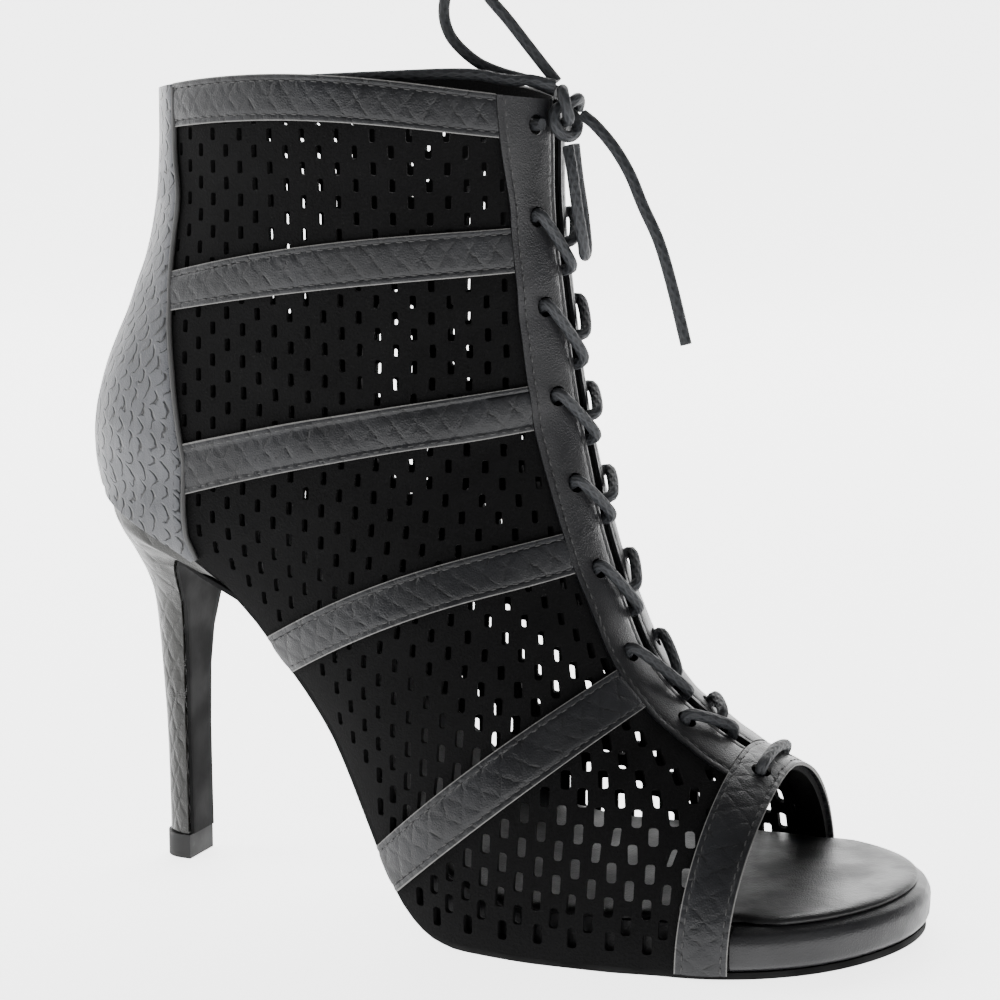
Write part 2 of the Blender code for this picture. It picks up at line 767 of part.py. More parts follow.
def build_insole(material, collection):
    """The leather insole, narrower under the toe strap."""
    steps = 32
    rings = []
    for height, inset in ((0.0, 0.3), (0.35, 0.0), (0.8, 0.1), (1.0, 0.6)):
        inset += INSOLE_INSET
        ring = []
        start, end = SEAT_OVERHANG + inset, LENGTH - inset
        for x in ring_stations(start, end, steps, True, True):
            z = seam_z(x) + 2.5 * GAP + pad_z(x) + INSOLE * height
            tucked = inset + 1.6 * ease((x - 0.70 * LENGTH) / 12) * ease((0.86 * LENGTH - x) / 4)
            ring.append([(x, edge_y(side, x, tucked), z) for side in (LATERAL, MEDIAL)])
        rings.append(ring)
    stacked_rings("insole", rings, material, collection)


def heel_rows():
    names = HEEL_COLUMNS
    rows = [dict(zip(names, row)) for row in HEEL]
    foot = (TOP_LIFT_HEIGHT + GAP - OUTSOLE) / HEEL_HEIGHT
    rows.append(
        dict(zip(names, (HEEL_FOOT_BACK, foot, HEEL_FOOT_FRONT, foot, HEEL_FOOT_HALF, 1.0)))
    )
    return rows


def d_shape(back, front, half, rounded, count):
    """Pairs of points round a D with its flat side in front, as x and half width."""
    arc = (front - back) * rounded
    straight = (front - back) - arc
    places = []
    if straight > 0.01:
        places += [(front - straight * i / 3, half) for i in range(3)]
    for i in range(count + 1):
        turn = math.pi / 2 * i / count
        places.append((back + arc * (1 - math.sin(turn)), half * math.cos(turn)))
    return places


def build_heel(material, collection):
    """The covered stiletto heel, its sections tipped with the seat at the top."""
    arc_steps, side_steps = 6, 6
    rings = []
    for number, row in enumerate(heel_rows()):
        back, front = LENGTH * row["back_x"], LENGTH * row["front_x"]
        low = OUTSOLE + HEEL_HEIGHT * row["back_z"]
        high = OUTSOLE + HEEL_HEIGHT * row["front_z"]
        half = SEAT_WIDTH * row["half"]
        arc = (front - back) * row["round"]
        ring = []
        for i in range(side_steps + arc_steps + 1):
            if i < side_steps:
                x, y = front - (front - back - arc) * i / side_steps, half
            else:
                turn = math.pi / 2 * (i - side_steps) / arc_steps
                x, y = back + arc * (1 - math.sin(turn)), half * math.cos(turn)
            share = (x - back) / (front - back)
            z = seam_z(x) if number == 0 else low + (high - low) * share
            ring.append([(x, side * y, z) for side in (LATERAL, MEDIAL)])
        rings.append(ring)
    stacked_rings("heel", rings, material, collection)


def build_top_lift(material, collection):
    middle = LENGTH * (HEEL_FOOT_BACK + HEEL_FOOT_FRONT) / 2
    back, front = middle - TOP_LIFT_LENGTH / 2, middle + TOP_LIFT_LENGTH / 2
    places = d_shape(back, front, TOP_LIFT_WIDTH / 2, 0.7, 6)
    rings = [
        [[(x, side * y, z) for side in (LATERAL, MEDIAL)] for x, y in places]
        for z in (0.0, TOP_LIFT_HEIGHT)
    ]
    stacked_rings("top_lift", rings, material, collection)


def sole_path():
    """Top line of the outsole, from the toe to the heel, then down the heel's front: x, z, half."""
    rows = heel_rows()
    tip = LENGTH - OUTSOLE_INSET
    path = [(x, seam_z(x), None) for x in ring_stations(0.228 * LENGTH, tip, 36, False, True)]
    path.reverse()
    line = [(LENGTH * row["front_x"], OUTSOLE + HEEL_HEIGHT * row["front_z"]) for row in rows]
    for i in range(1, len(rows)):
        ahead = line[min(i + 1, len(rows) - 1)]
        run_x, run_z = ahead[0] - line[i - 1][0], ahead[1] - line[i - 1][1]
        step = (GAP + 0.1) / math.hypot(run_x, run_z)
        half = SEAT_WIDTH * rows[i]["half"] - 0.5
        path.append((line[i][0] - run_z * step, line[i][1] + run_x * step, half))
    return path


def build_outsole(material, collection):
    """The thin outsole, whose back end runs down the front of the heel."""
    path = sole_path()
    bm = bmesh.new()

    def place(a, b):
        x, z, half = path[round(a * (len(path) - 1))]
        side = LATERAL if b < 0.5 else MEDIAL
        y = edge_y(side, x, OUTSOLE_INSET) if half is None else side * half
        return x, y, z

    add_sheet(bm, place, len(path) - 1, 1, Vector((0, 0, 1)))
    bmesh.ops.remove_doubles(bm, verts=bm.verts, dist=0.02 * MM)
    piece = mesh_object("outsole", bm, material, collection)
    full = piece.vertex_groups.new(name="Full thickness")
    for vert in piece.data.vertices:
        x = vert.co.x / MM + DATUM_X
        full.add([vert.index], ease((x / LENGTH - 0.19) / 0.1), "REPLACE")
    wall = thicken(piece, OUTSOLE, outwards=False)
    wall.vertex_group = full.name
    wall.thickness_vertex_group = FLAP / OUTSOLE


def spaced(route, spacing):
    """Points this far apart on a smooth curve through the route."""
    route = [np.array(point, float) for point in route]
    ends = [2 * route[0] - route[1], *route, 2 * route[-1] - route[-2]]
    dense = []
    for p, q, r, s in zip(ends, ends[1:], ends[2:], ends[3:]):
        for i in range(24):
            t = i / 24
            dense.append(
                0.5
                * (
                    2 * q
                    + (r - p) * t
                    + (2 * p - 5 * q + 4 * r - s) * t * t
                    + (3 * q - p - 3 * r + s) * t ** 3
                )
            )
    dense.append(route[-1])
    travelled = np.concatenate(
        [[0.0], np.cumsum([np.linalg.norm(b - a) for a, b in zip(dense, dense[1:])])]
    )
    count = max(2, round(travelled[-1] / spacing))
    wanted = np.linspace(0.0, travelled[-1], count + 1)
    return np.stack([np.interp(wanted, travelled, [p[k] for p in dense]) for k in range(3)], 1)


def tube(name, points, diameter, material, collection):
    """A round cord with closed ends through the points."""
    curve = bpy.data.curves.new(name, "CURVE")
    curve.dimensions = "3D"
    curve.bevel_depth = diameter / 2 * MM
    curve.bevel_resolution = 2
    curve.use_fill_caps = True
    spline = curve.splines.new("POLY")
    spline.points.add(len(points) - 1)
    for point, target in zip(points, spline.points):
        target.co = (*to_world(point), 1.0)
    spline.use_smooth = True
    return new_object(name, curve, material, collection)


def eyelets():
    """u and v of each eyelet, for both sides."""
    places = {}
    for number in range(EYELET_COUNT):
        u = eyelet_u(number)
        for side in (LATERAL, MEDIAL):
            places[side, number] = (u, v_from_throat(side, u, EYELET_INSET))
    return places


def build_hole_cutter(places, collection):
    bm = bmesh.new()
    for (side, _), (u, v) in places.items():
        middle = to_world(skin(side, u, v))
        turn = Vector(outward(side, u, v)).to_track_quat("Z", "Y").to_matrix().to_4x4()
        bmesh.ops.create_cone(
            bm,
            cap_ends=True,
            segments=8,
            radius1=EYELET_HOLE / 2 * MM,
            radius2=EYELET_HOLE / 2 * MM,
            depth=8 * MM,
            matrix=Matrix.Translation(middle) @ turn,
        )
    cutter = mesh_object("eyelet_punch", bm, None, collection)
    cutter.hide_render = True
    cutter.display_type = "WIRE"
    return cutter


def lacing_route(places):
    """The lace but for its free ends: down one strand, over the bar on the strap, up the other."""
    above = GAP + LEATHER + LACE / 2 + 0.5
    below = -(WALL + LACE / 2 + 0.6)

    def over_gap(u, share, height):
        left, right = skin(LATERAL, u, 0.0), skin(MEDIAL, u, 0.0)
        normal = outward(LATERAL, u, 0.0) + outward(MEDIAL, u, 0.0)
        return left + (right - left) * share + height * normal / np.linalg.norm(normal)

    def through(side, number):
        """Up through an eyelet, from the inside to the outside."""
        u, v = places[side, number]
        return [skin(side, u, v, height) for height in (below, -0.4, above)]

    def strand(first_side):
        """In at the top eyelet, then over each edge, down through the gap and out across from it."""
        deeper = below - (LACE + 0.5 if first_side == MEDIAL else 0.0)
        top, following = places[first_side, 0][0], places[-first_side, 1][0]
        points = through(first_side, 0)[::-1]
        points.append(over_gap(top + (following - top) * 0.5, 0.5, deeper))
        side = -first_side
        for number in range(1, EYELET_COUNT):
            points += through(side, number)
            if number < EYELET_COUNT - 1:
                u, following = places[side, number][0], places[-side, number + 1][0]
                drop = (u - following) * (0.60 if side == LATERAL else 0.34)
                near, far = (0.0, 1.0) if side == LATERAL else (1.0, 0.0)
                points.append(over_gap(u - drop * 0.85, near, above + 0.5))
                points.append(over_gap(u - drop, 0.5, 1.4))
                points.append(over_gap(u - drop, 0.5, -1.9))
                points.append(over_gap(u - drop * 1.15, far, below - 0.4))
            side = -side
        return points

    bar_u = places[LATERAL, EYELET_COUNT - 1][0]
    return strand(LATERAL) + [over_gap(bar_u, 0.5, above + 0.3)] + strand(MEDIAL)[::-1]


def knot_middle():
    corner = skin(LATERAL, 1.0, 0.0)
    return np.array([corner[0] + KNOT_PROUD, 0.6 - THROAT_GAP / 2, corner[2] - KNOT_DROP])


def knot_route():
    """Three crossings of a closed bow knot, left open by a short gap so that it has two ends."""
    minor = (KNOT_DEPTH - LACE) / 2
    major = (KNOT_HEIGHT - LACE) / 2 - minor
    points = []
    for i in range(33):
        turn = 2 * math.tau * (0.012 + 0.976 * i / 32)
        ring = major + minor * math.cos(1.5 * turn)
        offset = (minor * math.sin(1.5 * turn), ring * math.cos(turn), ring * math.sin(turn))
        points.append(knot_middle() + np.array(offset))
    return points


def free_cord(table):
    return [knot_middle() + SHAFT_HEIGHT * np.array(row) for row in table]


def build_laces(places, material, collection):
    tube("lace_crossings", lacing_route(places), LACE, material, collection)
    tube("lace_knot", knot_route(), LACE, material, collection)
    free = (("loop_a", LOOP_A), ("loop_b", LOOP_B), ("end_a", END_A), ("end_b", END_B))
    for name, table in free:
        points = spaced(free_cord(table), 2.2 * LACE)
        tube(f"lace_{name}", points, LACE, material, collection)


def main():
    for old in list(bpy.data.objects):
        bpy.data.objects.remove(old, do_unlink=True)
    shoe = bpy.data.collections.new("lace_up_bootie")
    cutters = bpy.data.collections.new("cutters")
    for collection in (shoe, cutters):
        bpy.context.scene.collection.children.link(collection)

    suede = new_material("black_suede", (0.012, 0.012, 0.012), 0.95)
    embossed = new_material("embossed_leather", (0.05, 0.05, 0.055), 0.42)
    smooth_leather = new_material("smooth_leather", (0.035, 0.035, 0.038), 0.45)
    lining = new_material("insole_leather", (0.03, 0.03, 0.032), 0.5)
    wrap = new_material("heel_wrap", (0.09, 0.09, 0.085), 0.4)
    sole = new_material("black_sole", (0.015, 0.015, 0.016), 0.5)
    rubber = new_material("top_lift_rubber", (0.03, 0.03, 0.03), 0.7)
    cord = new_material("lace_cord", (0.02, 0.02, 0.022), 0.7)

    places = eyelets()
    punch = build_hole_cutter(places, cutters)
    build_upper(suede, shoe, punch)
    build_counter(embossed, shoe)
    for number, rows in enumerate(BANDS, start=1):
        build_band(f"band_{number}", *rows, embossed, shoe)
    build_band("collar_band", *COLLAR_BAND, embossed, shoe)
    build_toe_strap(embossed, shoe, punch)
    build_eyestays(smooth_leather, shoe, punch)
    build_outsole(sole, shoe)
    build_platform(smooth_leather, shoe)
    build_insole(lining, shoe)
    build_heel(wrap, shoe)
    build_top_lift(rubber, shoe)
    build_laces(places, cord, shoe)


main()
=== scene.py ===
"""Lace-up open-toe bootie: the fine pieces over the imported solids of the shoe.

The sizes and the surface of the upper are those of the solids, sampled finer. The design frame is
in millimetres, x from the back of the heel to the toe, y to the inner side, z up. The upper's
points lie at (u, v): u runs from the toe strap to the collar, v from the throat down to the sole
or the back.
"""

import functools
import math

import bmesh
import bpy
import numpy as np
from mathutils import Matrix, Vector


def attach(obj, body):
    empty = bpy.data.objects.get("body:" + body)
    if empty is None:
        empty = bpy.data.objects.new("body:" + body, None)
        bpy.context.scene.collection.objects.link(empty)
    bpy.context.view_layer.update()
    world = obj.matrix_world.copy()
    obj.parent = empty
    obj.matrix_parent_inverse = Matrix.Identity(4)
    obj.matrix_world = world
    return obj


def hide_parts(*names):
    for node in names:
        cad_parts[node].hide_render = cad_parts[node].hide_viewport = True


bl_info = {
    "name": "Lace-up bootie",
    "version": (1, 0, 0),
    "blender": (4, 5, 0),
    "location": "3D View > Sidebar > Bootie",
    "description": "Builds a lace-up open-toe bootie with perforated suede and embossed leather",
    "category": "Object",
}

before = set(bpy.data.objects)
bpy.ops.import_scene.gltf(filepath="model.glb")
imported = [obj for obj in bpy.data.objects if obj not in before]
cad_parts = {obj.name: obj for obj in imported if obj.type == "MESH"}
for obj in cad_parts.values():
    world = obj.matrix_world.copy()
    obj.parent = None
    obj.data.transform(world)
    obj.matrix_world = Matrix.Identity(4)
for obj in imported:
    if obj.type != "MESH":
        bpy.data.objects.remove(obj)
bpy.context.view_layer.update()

MM = 0.001
LATERAL, MEDIAL = -1, 1

# Driving sizes, in millimetres
LENGTH = 213.0  # heel bulge to toe tip, along the floor
BALL_WIDTH = 84.0
SEAT_WIDTH = 50.0
ANKLE_WIDTH = 60.0
HEEL_HEIGHT = 96.0  # back of the seat above the forefoot's tread
SHAFT_HEIGHT = 102.0  # collar above the back of the seat
WALL = 1.4  # suede and its lining
LEATHER = 0.8  # panels that lie on the suede
GAP = 0.3  # between pieces that touch on the real shoe
SEAM_GAP = 0.2  # from the sole and the heel up to the edge of the upper, which leans
OUTSOLE = 1.6
FLAP = 1.0  # the outsole where it runs down the front of the heel
PLATFORM = 9.5
STRAP_WIDTH = 11.5
EYESTAY_WIDTH = 13.0
EYESTAY_FLARE = 3.2  # the eyestay is this much wider at the collar
THROAT_GAP = 4.2
EYELET_COUNT = 9
EYELET_PITCH = 20.8
EYELET_TOP = 6.0  # collar edge to the first eyelet
EYELET_INSET = 6.4  # throat edge to the eyelet's middle
EYELET_HOLE = 4.8
LACE = 2.7
KNOT_HEIGHT = 14.0
KNOT_DEPTH = 6.2
KNOT_PROUD = 4.4  # throat edge to the knot's middle
KNOT_DROP = 3.2  # collar's throat corner down to the knot's middle
TOP_LIFT_HEIGHT = 6.3
TOP_LIFT_WIDTH = 12.0
TOP_LIFT_LENGTH = 8.8
SEAT_OVERHANG = 2.0  # the heel bulge stands behind the seat by this
SEAT_ROUND = 28.0  # length of the rounded back of the seat
TOE_ROUND = 48.0  # length of the rounded toe
OUTSOLE_INSET = 1.2
PLATFORM_INSET = 0.2
INSOLE_INSET = 4.4
UPPER_TUCK = 1.2  # the upper stops this far behind the strap's front edge

DATUM_X = 0.648 * LENGTH
SEAT_X = SEAT_OVERHANG + SEAT_ROUND
STRAP_FOOT_X = 0.835 * LENGTH
STRAP_SKEW = 3.0  # the strap's inner foot stands this far in front of its outer one
SOLE_EDGE = WALL + GAP

# Plan outline of the sole: station along LENGTH, half width as a share of SEAT_WIDTH plus a share
# of BALL_WIDTH, and the middle line's shift to the inner side as a share of BALL_WIDTH
OUTLINE_COLUMNS = ("at", "seat", "ball", "shift")
OUTLINE = (
    (0.000, 0.500, 0.000, 0.000),
    (0.113, 0.500, 0.000, 0.000),
    (0.205, 0.490, 0.000, -0.004),
    (0.282, 0.240, 0.150, -0.022),
    (0.352, 0.120, 0.240, -0.034),
    (0.423, 0.000, 0.372, -0.041),
    (0.493, 0.000, 0.438, -0.041),
    (0.563, 0.000, 0.481, -0.035),
    (0.634, 0.000, 0.500, -0.024),
    (0.704, 0.000, 0.500, -0.008),
    (0.775, 0.000, 0.488, 0.013),
    (0.880, 0.000, 0.488, 0.040),
    (1.000, 0.000, 0.488, 0.070),
)

# Seam line where the upper meets the sole: height above the outsole as a share of HEEL_HEIGHT, and
# the thickness of the platform above it as a share of PLATFORM
SEAM_COLUMNS = ("at", "height", "pad")
SEAM = (
    (0.009, 1.000, 0.00),
    (0.070, 0.951, 0.00),
    (0.117, 0.911, 0.00),
    (0.155, 0.872, 0.00),
    (0.183, 0.833, 0.00),
    (0.211, 0.792, 0.00),
    (0.235, 0.750, 0.00),
    (0.263, 0.696, 0.00),
    (0.286, 0.640, 0.02),
    (0.315, 0.575, 0.08),
    (0.338, 0.516, 0.17),
    (0.362, 0.448, 0.35),
    (0.385, 0.365, 0.62),
    (0.408, 0.276, 0.98),
    (0.432, 0.188, 1.30),
    (0.455, 0.109, 1.50),
    (0.479, 0.050, 1.57),
    (0.507, 0.013, 1.48),
    (0.540, 0.000, 1.26),
    (0.580, 0.000, 1.07),
    (0.615, 0.000, 1.00),
    (0.775, 0.000, 1.00),
    (0.845, 0.003, 1.00),
    (0.915, 0.009, 1.00),
    (1.000, 0.023, 1.00),
)

# Front seam of the counter: rise above the seat as a share of SHAFT_HEIGHT, x as a share of LENGTH
COUNTER_COLUMNS = ("rise", "x")
COUNTER = (
    (-0.15, 0.1800),
    (-0.08, 0.1700),
    (0.00, 0.1680),
    (0.08, 0.1680),
    (0.18, 0.1600),
    (0.30, 0.1530),
    (0.45, 0.1480),
    (0.60, 0.1500),
    (0.72, 0.1560),
    (0.84, 0.1500),
    (1.00, 0.1500),
)

# Back line of the upper above the seat: rise as a share of SHAFT_HEIGHT, x as a share of LENGTH
BACK_COLUMNS = ("rise", "x")
BACK = (
    (0.00, 0.0094),
    (0.05, 0.0036),
    (0.13, 0.0000),
    (0.18, 0.0020),
    (0.24, 0.0085),
    (0.30, 0.0175),
    (0.36, 0.0300),
    (0.43, 0.0465),
    (0.49, 0.0585),
    (0.57, 0.0740),
    (0.66, 0.0850),
    (0.74, 0.0910),
    (0.85, 0.0945),
    (1.00, 0.0960),
)

# Sections of the upper. The throat point is a share of LENGTH and of the collar's height, foot is a
# place on the foot line (0 to 1 along the sole, 1 to 2 round the seat, 2 to 3 up the back), crown a
# share of SHAFT_HEIGHT, the half width a share of BALL_WIDTH plus a share of ANKLE_WIDTH, and shift
# a share of BALL_WIDTH. The powers are for the section in front of its widest point and behind it:
# a lower one makes it squarer.
SECTION_COLUMNS = (
    "throat_x", "throat_z", "foot", "crown", "ball", "ankle", "shift", "front", "rear"
)
SECTIONS = (
    (0.8510, 0.2020, 0.000, 0.000, 0.471, 0.000, 0.022, 1.22, 1.00),
    (0.8020, 0.2200, 0.072, 0.000, 0.490, 0.000, 0.016, 1.08, 1.00),
    (0.7530, 0.2510, 0.292, 0.000, 0.505, 0.000, -0.020, 0.90, 1.00),
    (0.7120, 0.2860, 0.542, 0.005, 0.478, 0.000, -0.032, 0.86, 1.00),
    (0.6800, 0.3270, 0.584, 0.010, 0.455, 0.000, -0.034, 0.87, 1.00),
    (0.6560, 0.3860, 0.670, 0.020, 0.250, 0.240, -0.030, 0.90, 0.98),
    (0.6400, 0.4370, 0.761, 0.030, 0.120, 0.380, -0.024, 0.93, 0.95),
    (0.6270, 0.4820, 0.810, 0.035, 0.060, 0.440, -0.018, 0.95, 0.90),
    (0.6150, 0.5430, 0.955, 0.030, 0.000, 0.500, -0.010, 0.97, 0.80),
    (0.6030, 0.6030, 1.380, 0.024, 0.000, 0.492, -0.004, 1.00, 0.72),
    (0.5955, 0.6480, 2.000, 0.022, 0.000, 0.488, 0.000, 1.00, 0.72),
    (0.5945, 0.6540, 2.050, 0.022, 0.000, 0.487, 0.000, 1.00, 0.72),
    (0.5900, 0.6870, 2.130, 0.021, 0.000, 0.485, 0.000, 1.00, 0.75),
    (0.5860, 0.7170, 2.235, 0.020, 0.000, 0.487, 0.000, 1.00, 0.79),
    (0.5770, 0.7850, 2.407, 0.022, 0.000, 0.497, 0.000, 1.00, 0.87),
    (0.5710, 0.8350, 2.495, 0.032, 0.000, 0.503, 0.000, 1.00, 0.90),
    (0.5685, 0.8840, 2.686, 0.034, 0.000, 0.510, 0.000, 1.00, 0.93),
    (0.5680, 0.9330, 2.868, 0.040, 0.000, 0.517, 0.000, 1.00, 0.94),
    (0.5660, 0.9810, 2.966, 0.046, 0.000, 0.522, 0.000, 1.00, 0.94),
)
# Rows of SECTIONS that are the lower and upper edges of the bands, from the lowest to the highest
BANDS = ((3, 4), (6, 7), (9, 11), (14, 15))
COLLAR_BAND = (17, 18)

# Routes of the free cords from the knot's middle: forward, inward and up, as shares of SHAFT_HEIGHT
LOOP_A = (
    (-0.035, 0.025, 0.049),
    (-0.106, 0.029, 0.073),
    (-0.174, 0.015, 0.092),
    (-0.228, 0.000, 0.118),
    (-0.280, -0.005, 0.164),
    (-0.302, -0.005, 0.209),
    (-0.302, -0.005, 0.254),
    (-0.286, -0.005, 0.285),
    (-0.251, -0.005, 0.300),
    (-0.214, -0.005, 0.286),
    (-0.185, -0.005, 0.253),
    (-0.146, -0.005, 0.212),
    (-0.102, 0.000, 0.158),
    (-0.065, 0.010, 0.110),
    (-0.032, 0.015, 0.070),
)
LOOP_B = (
    (0.016, -0.035, -0.074),
    (0.032, -0.049, -0.130),
    (0.045, -0.050, -0.212),
    (0.052, -0.034, -0.281),
    (0.046, -0.005, -0.320),
    (0.039, 0.025, -0.301),
    (0.025, 0.039, -0.227),
    (0.013, 0.036, -0.149),
    (0.007, 0.025, -0.070),
)
END_A = (
    (0.035, 0.006, -0.003),
    (0.069, 0.000, -0.027),
    (0.116, -0.005, -0.076),
    (0.158, -0.015, -0.135),
    (0.193, -0.025, -0.204),
    (0.235, -0.034, -0.282),
    (0.271, -0.044, -0.381),
    (0.309, -0.054, -0.509),
)
END_B = (
    (-0.019, -0.026, 0.062),
    (-0.074, -0.044, 0.075),
    (-0.100, -0.054, 0.073),
    (-0.133, -0.083, 0.077),
    (-0.170, -0.113, 0.086),
    (-0.225, -0.152, 0.088),
    (-0.326, -0.201, 0.084),
    (-0.437, -0.230, 0.079),
    (-0.527, -0.240, 0.075),
)

# Heel, from the seat to the top lift: back and front of each section as shares of LENGTH and of
# HEEL_HEIGHT, half width as a share of SEAT_WIDTH, and the rounded share of the section's length
HEEL_COLUMNS = ("back_x", "back_z", "front_x", "front_z", "half", "round")
HEEL = (
    (0.0094, 1.000, 0.2110, 0.792, 0.500, 0.65),
    (0.0150, 0.962, 0.1800, 0.815, 0.480, 0.67),
    (0.0250, 0.912, 0.1520, 0.838, 0.440, 0.70),
    (0.0360, 0.865, 0.1330, 0.832, 0.390, 0.76),
    (0.0450, 0.822, 0.1230, 0.800, 0.335, 0.80),
    (0.0510, 0.770, 0.1165, 0.758, 0.265, 0.90),
    (0.0560, 0.700, 0.1115, 0.697, 0.190, 1.00),
    (0.0590, 0.605, 0.1070, 0.605, 0.143, 1.00),
    (0.0620, 0.500, 0.1045, 0.500, 0.122, 1.00),
    (0.0665, 0.335, 0.1035, 0.335, 0.115, 1.00),
    (0.0680, 0.180, 0.1040, 0.180, 0.113, 1.00),
)
HEEL_FOOT_BACK = 0.0685
HEEL_FOOT_FRONT = 0.1045
HEEL_FOOT_HALF = 0.113

# Details that only the render has, in millimetres
ROWS, COLUMNS = 361, 161  # the dense sampling of each side of the upper
STITCH_LENGTH = 1.7
STITCH_PITCH = 2.7
STITCH_INSET = 1.35
STITCH_HALF_WIDTH = 0.21
STITCH_HALF_HEIGHT = 0.2
EDGE_STEPS = (0.0, 0.28, 0.56, 0.9, 1.15, 1.4, 1.7, 2.1, 2.7)  # rows of a panel from its edge
STITCH_ROW = 5  # row of EDGE_STEPS that the thread follows
COUNTER_GAP = 1.4 * GAP
COUNTER_END = 0.985  # v where the counter's front edge stops at its lowest corner
PANEL_PAD, EDGE_ROLL = 0.16, 0.10  # how far a panel swells inside its stitches and dips at its edge
THREAD_DEPTH, THREAD_REACH = 0.22, 0.42  # the groove that the thread draws in
BRAID = 3.4  # length of one turn of the lace's braid
HOLE_PITCH = 4.3  # between columns of holes
HOLE_RISE = 3.8  # between rows
HOLE_COLUMN = 0.47  # share of LENGTH where one column of holes stands
HOLE_FULL, HOLE_SHRINK = 1.08, 0.34  # size at the toes, and what it loses above the first band
HOLE_TO_PANEL = 0.6  # clear of the eyestay and the counter
HOLE_TO_SOLE = 4.6
HOLE_TO_TOES = 9.0
HOLE_UNDER_BAND = 1.4  # a band may cover a hole this far in from its edge
HOLE_TOP = 0.985  # no holes past this u
MERGE = 0.02 * MM  # points closer than this are one
PLATFORM_LEAN = 2.6  # its tucked part leans in by this from bottom to top
PLATFORM_ROUNDING = ((0.0, 1.2), (0.14, 0.2), (0.6, 0.0), (0.86, 0.9), (1.0, 3.2))  # height, inset
INSOLE_THICK = 1.8
INSOLE_SEAT_INSET = 2.6
INSOLE_TOE_INSET = 3.2
INSOLE_ROUNDING = (
    (0.0, 0.3),
    (0.25, 0.0),
    (0.5, 0.15),
    (0.72, 0.6),
    (0.88, 1.3),
    (0.97, 2.3),
    (1.0, 3.6),
)
RAW_EDGE = (0.13, 0.128, 0.124)

# Soft creases of the upper: middle as shares of LENGTH and of the collar's height, direction in
# degrees from level, half length and half width in millimetres, and depth
CREASE_COLUMNS = ("x", "z", "turn", "long", "wide", "depth")
CREASES = (
    (0.470, 0.700, 20.0, 26.0, 3.4, 0.45),
    (0.500, 0.560, 32.0, 24.0, 3.6, 0.50),
    (0.300, 0.620, -14.0, 22.0, 4.2, 0.40),
    (0.560, 0.380, 38.0, 26.0, 4.2, 0.45),
    (0.700, 0.240, 55.0, 14.0, 3.0, 0.35),
    (0.360, 0.880, 4.0, 30.0, 5.0, 0.35),
)
CREASE_FADE = 0.12  # share of each section, at both of its ends, where the creases fade out
RIDGE_AWAY = 1.8  # half widths from a crease's middle to the ridge beside it
RIDGE_HEIGHT = 0.5  # of the crease's depth

# Camera and lights of the stage, in metres, with each light's share of the main light's power
CAMERA_AT = (0.2008, -0.5455, 0.2000)
CAMERA_LOOK = (-0.3852, 0.9074, -0.1683)
LENS, SENSOR = 89.8, 36.0
LIGHTS = (
    ("key", (-1.4, -0.5, 0.8), 0.9, 1.0),
    ("fill", (1.1, -0.9, 0.7), 0.8, 0.14),
    ("back", (-0.3, 1.0, 0.9), 0.9, 0.3),
)
LIGHTS_AIM = (0.0, 0.0, 0.1)
FLOOR_TURN = 23  # degrees that the floor is turned to face the camera
FLOOR_HALF, FLOOR_NEAR, FLOOR_BEND, FLOOR_TOP = 3.5, 1.6, 0.8, 3.2


def column(table, names, name):
    place = names.index(name)
    return np.array([row[place] for row in table])


def look_up(table, names, name, at):
    """A named column of a table at places along its first column."""
    return smooth(at, column(table, names, names[0]), column(table, names, name))


def smooth(at, xs, ys):
    """Cubic through the points (xs, ys) that keeps level stretches level."""
    at = np.asarray(at, float)
    step = np.diff(xs)
    rise = np.diff(ys) / step
    both = rise[:-1] * rise[1:]
    total = np.where(both > 0, rise[:-1] + rise[1:], 1.0)
    slope = np.concatenate([rise[:1], np.where(both > 0, 2 * both / total, 0.0), rise[-1:]])
    i = np.clip(np.searchsorted(xs, at) - 1, 0, len(step) - 1)
    t = np.clip((at - xs[i]) / step[i], 0.0, 1.0)
    h = step[i]
    value = ys[i] * (1 + 2 * t) * (1 - t) ** 2 + h * slope[i] * t * (1 - t) ** 2
    return value + ys[i + 1] * t * t * (3 - 2 * t) + h * slope[i + 1] * t * t * (t - 1)


def ease(t):
    t = np.clip(t, 0.0, 1.0)
    return t * t * (3 - 2 * t)


def plan(x):
    """Half width and middle line of the sole's outline at x, before its rounded ends."""
    seat, ball, shift = (
        look_up(OUTLINE, OUTLINE_COLUMNS, name, x / LENGTH) for name in OUTLINE_COLUMNS[1:]
    )
    return SEAT_WIDTH * seat + BALL_WIDTH * ball, BALL_WIDTH * shift


def edge_y(side, x, inset=0.0):
    """The sole's edge at x on one side, moved in by inset."""
    half, shift = plan(x)
    half = half - inset
    toe = LENGTH - TOE_ROUND
    if x > toe:
        half *= math.sqrt(max(0.0, 1 - ((x - toe) / (TOE_ROUND - inset)) ** 2))
    if x < SEAT_X:
        half *= math.sqrt(max(0.0, 1 - ((SEAT_X - x) / (SEAT_ROUND - inset)) ** 2))
    return shift + side * half


def seam_z(x):
    """Top of the outsole and of the heel, where the upper ends."""
    return OUTSOLE + HEEL_HEIGHT * look_up(SEAM, SEAM_COLUMNS, "height", x / LENGTH)


def pad_z(x):
    """Thickness of the platform."""
    return PLATFORM * look_up(SEAM, SEAM_COLUMNS, "pad", x / LENGTH)


def strap_foot_x(side):
    return STRAP_FOOT_X + (STRAP_SKEW if side == MEDIAL else 0.0)


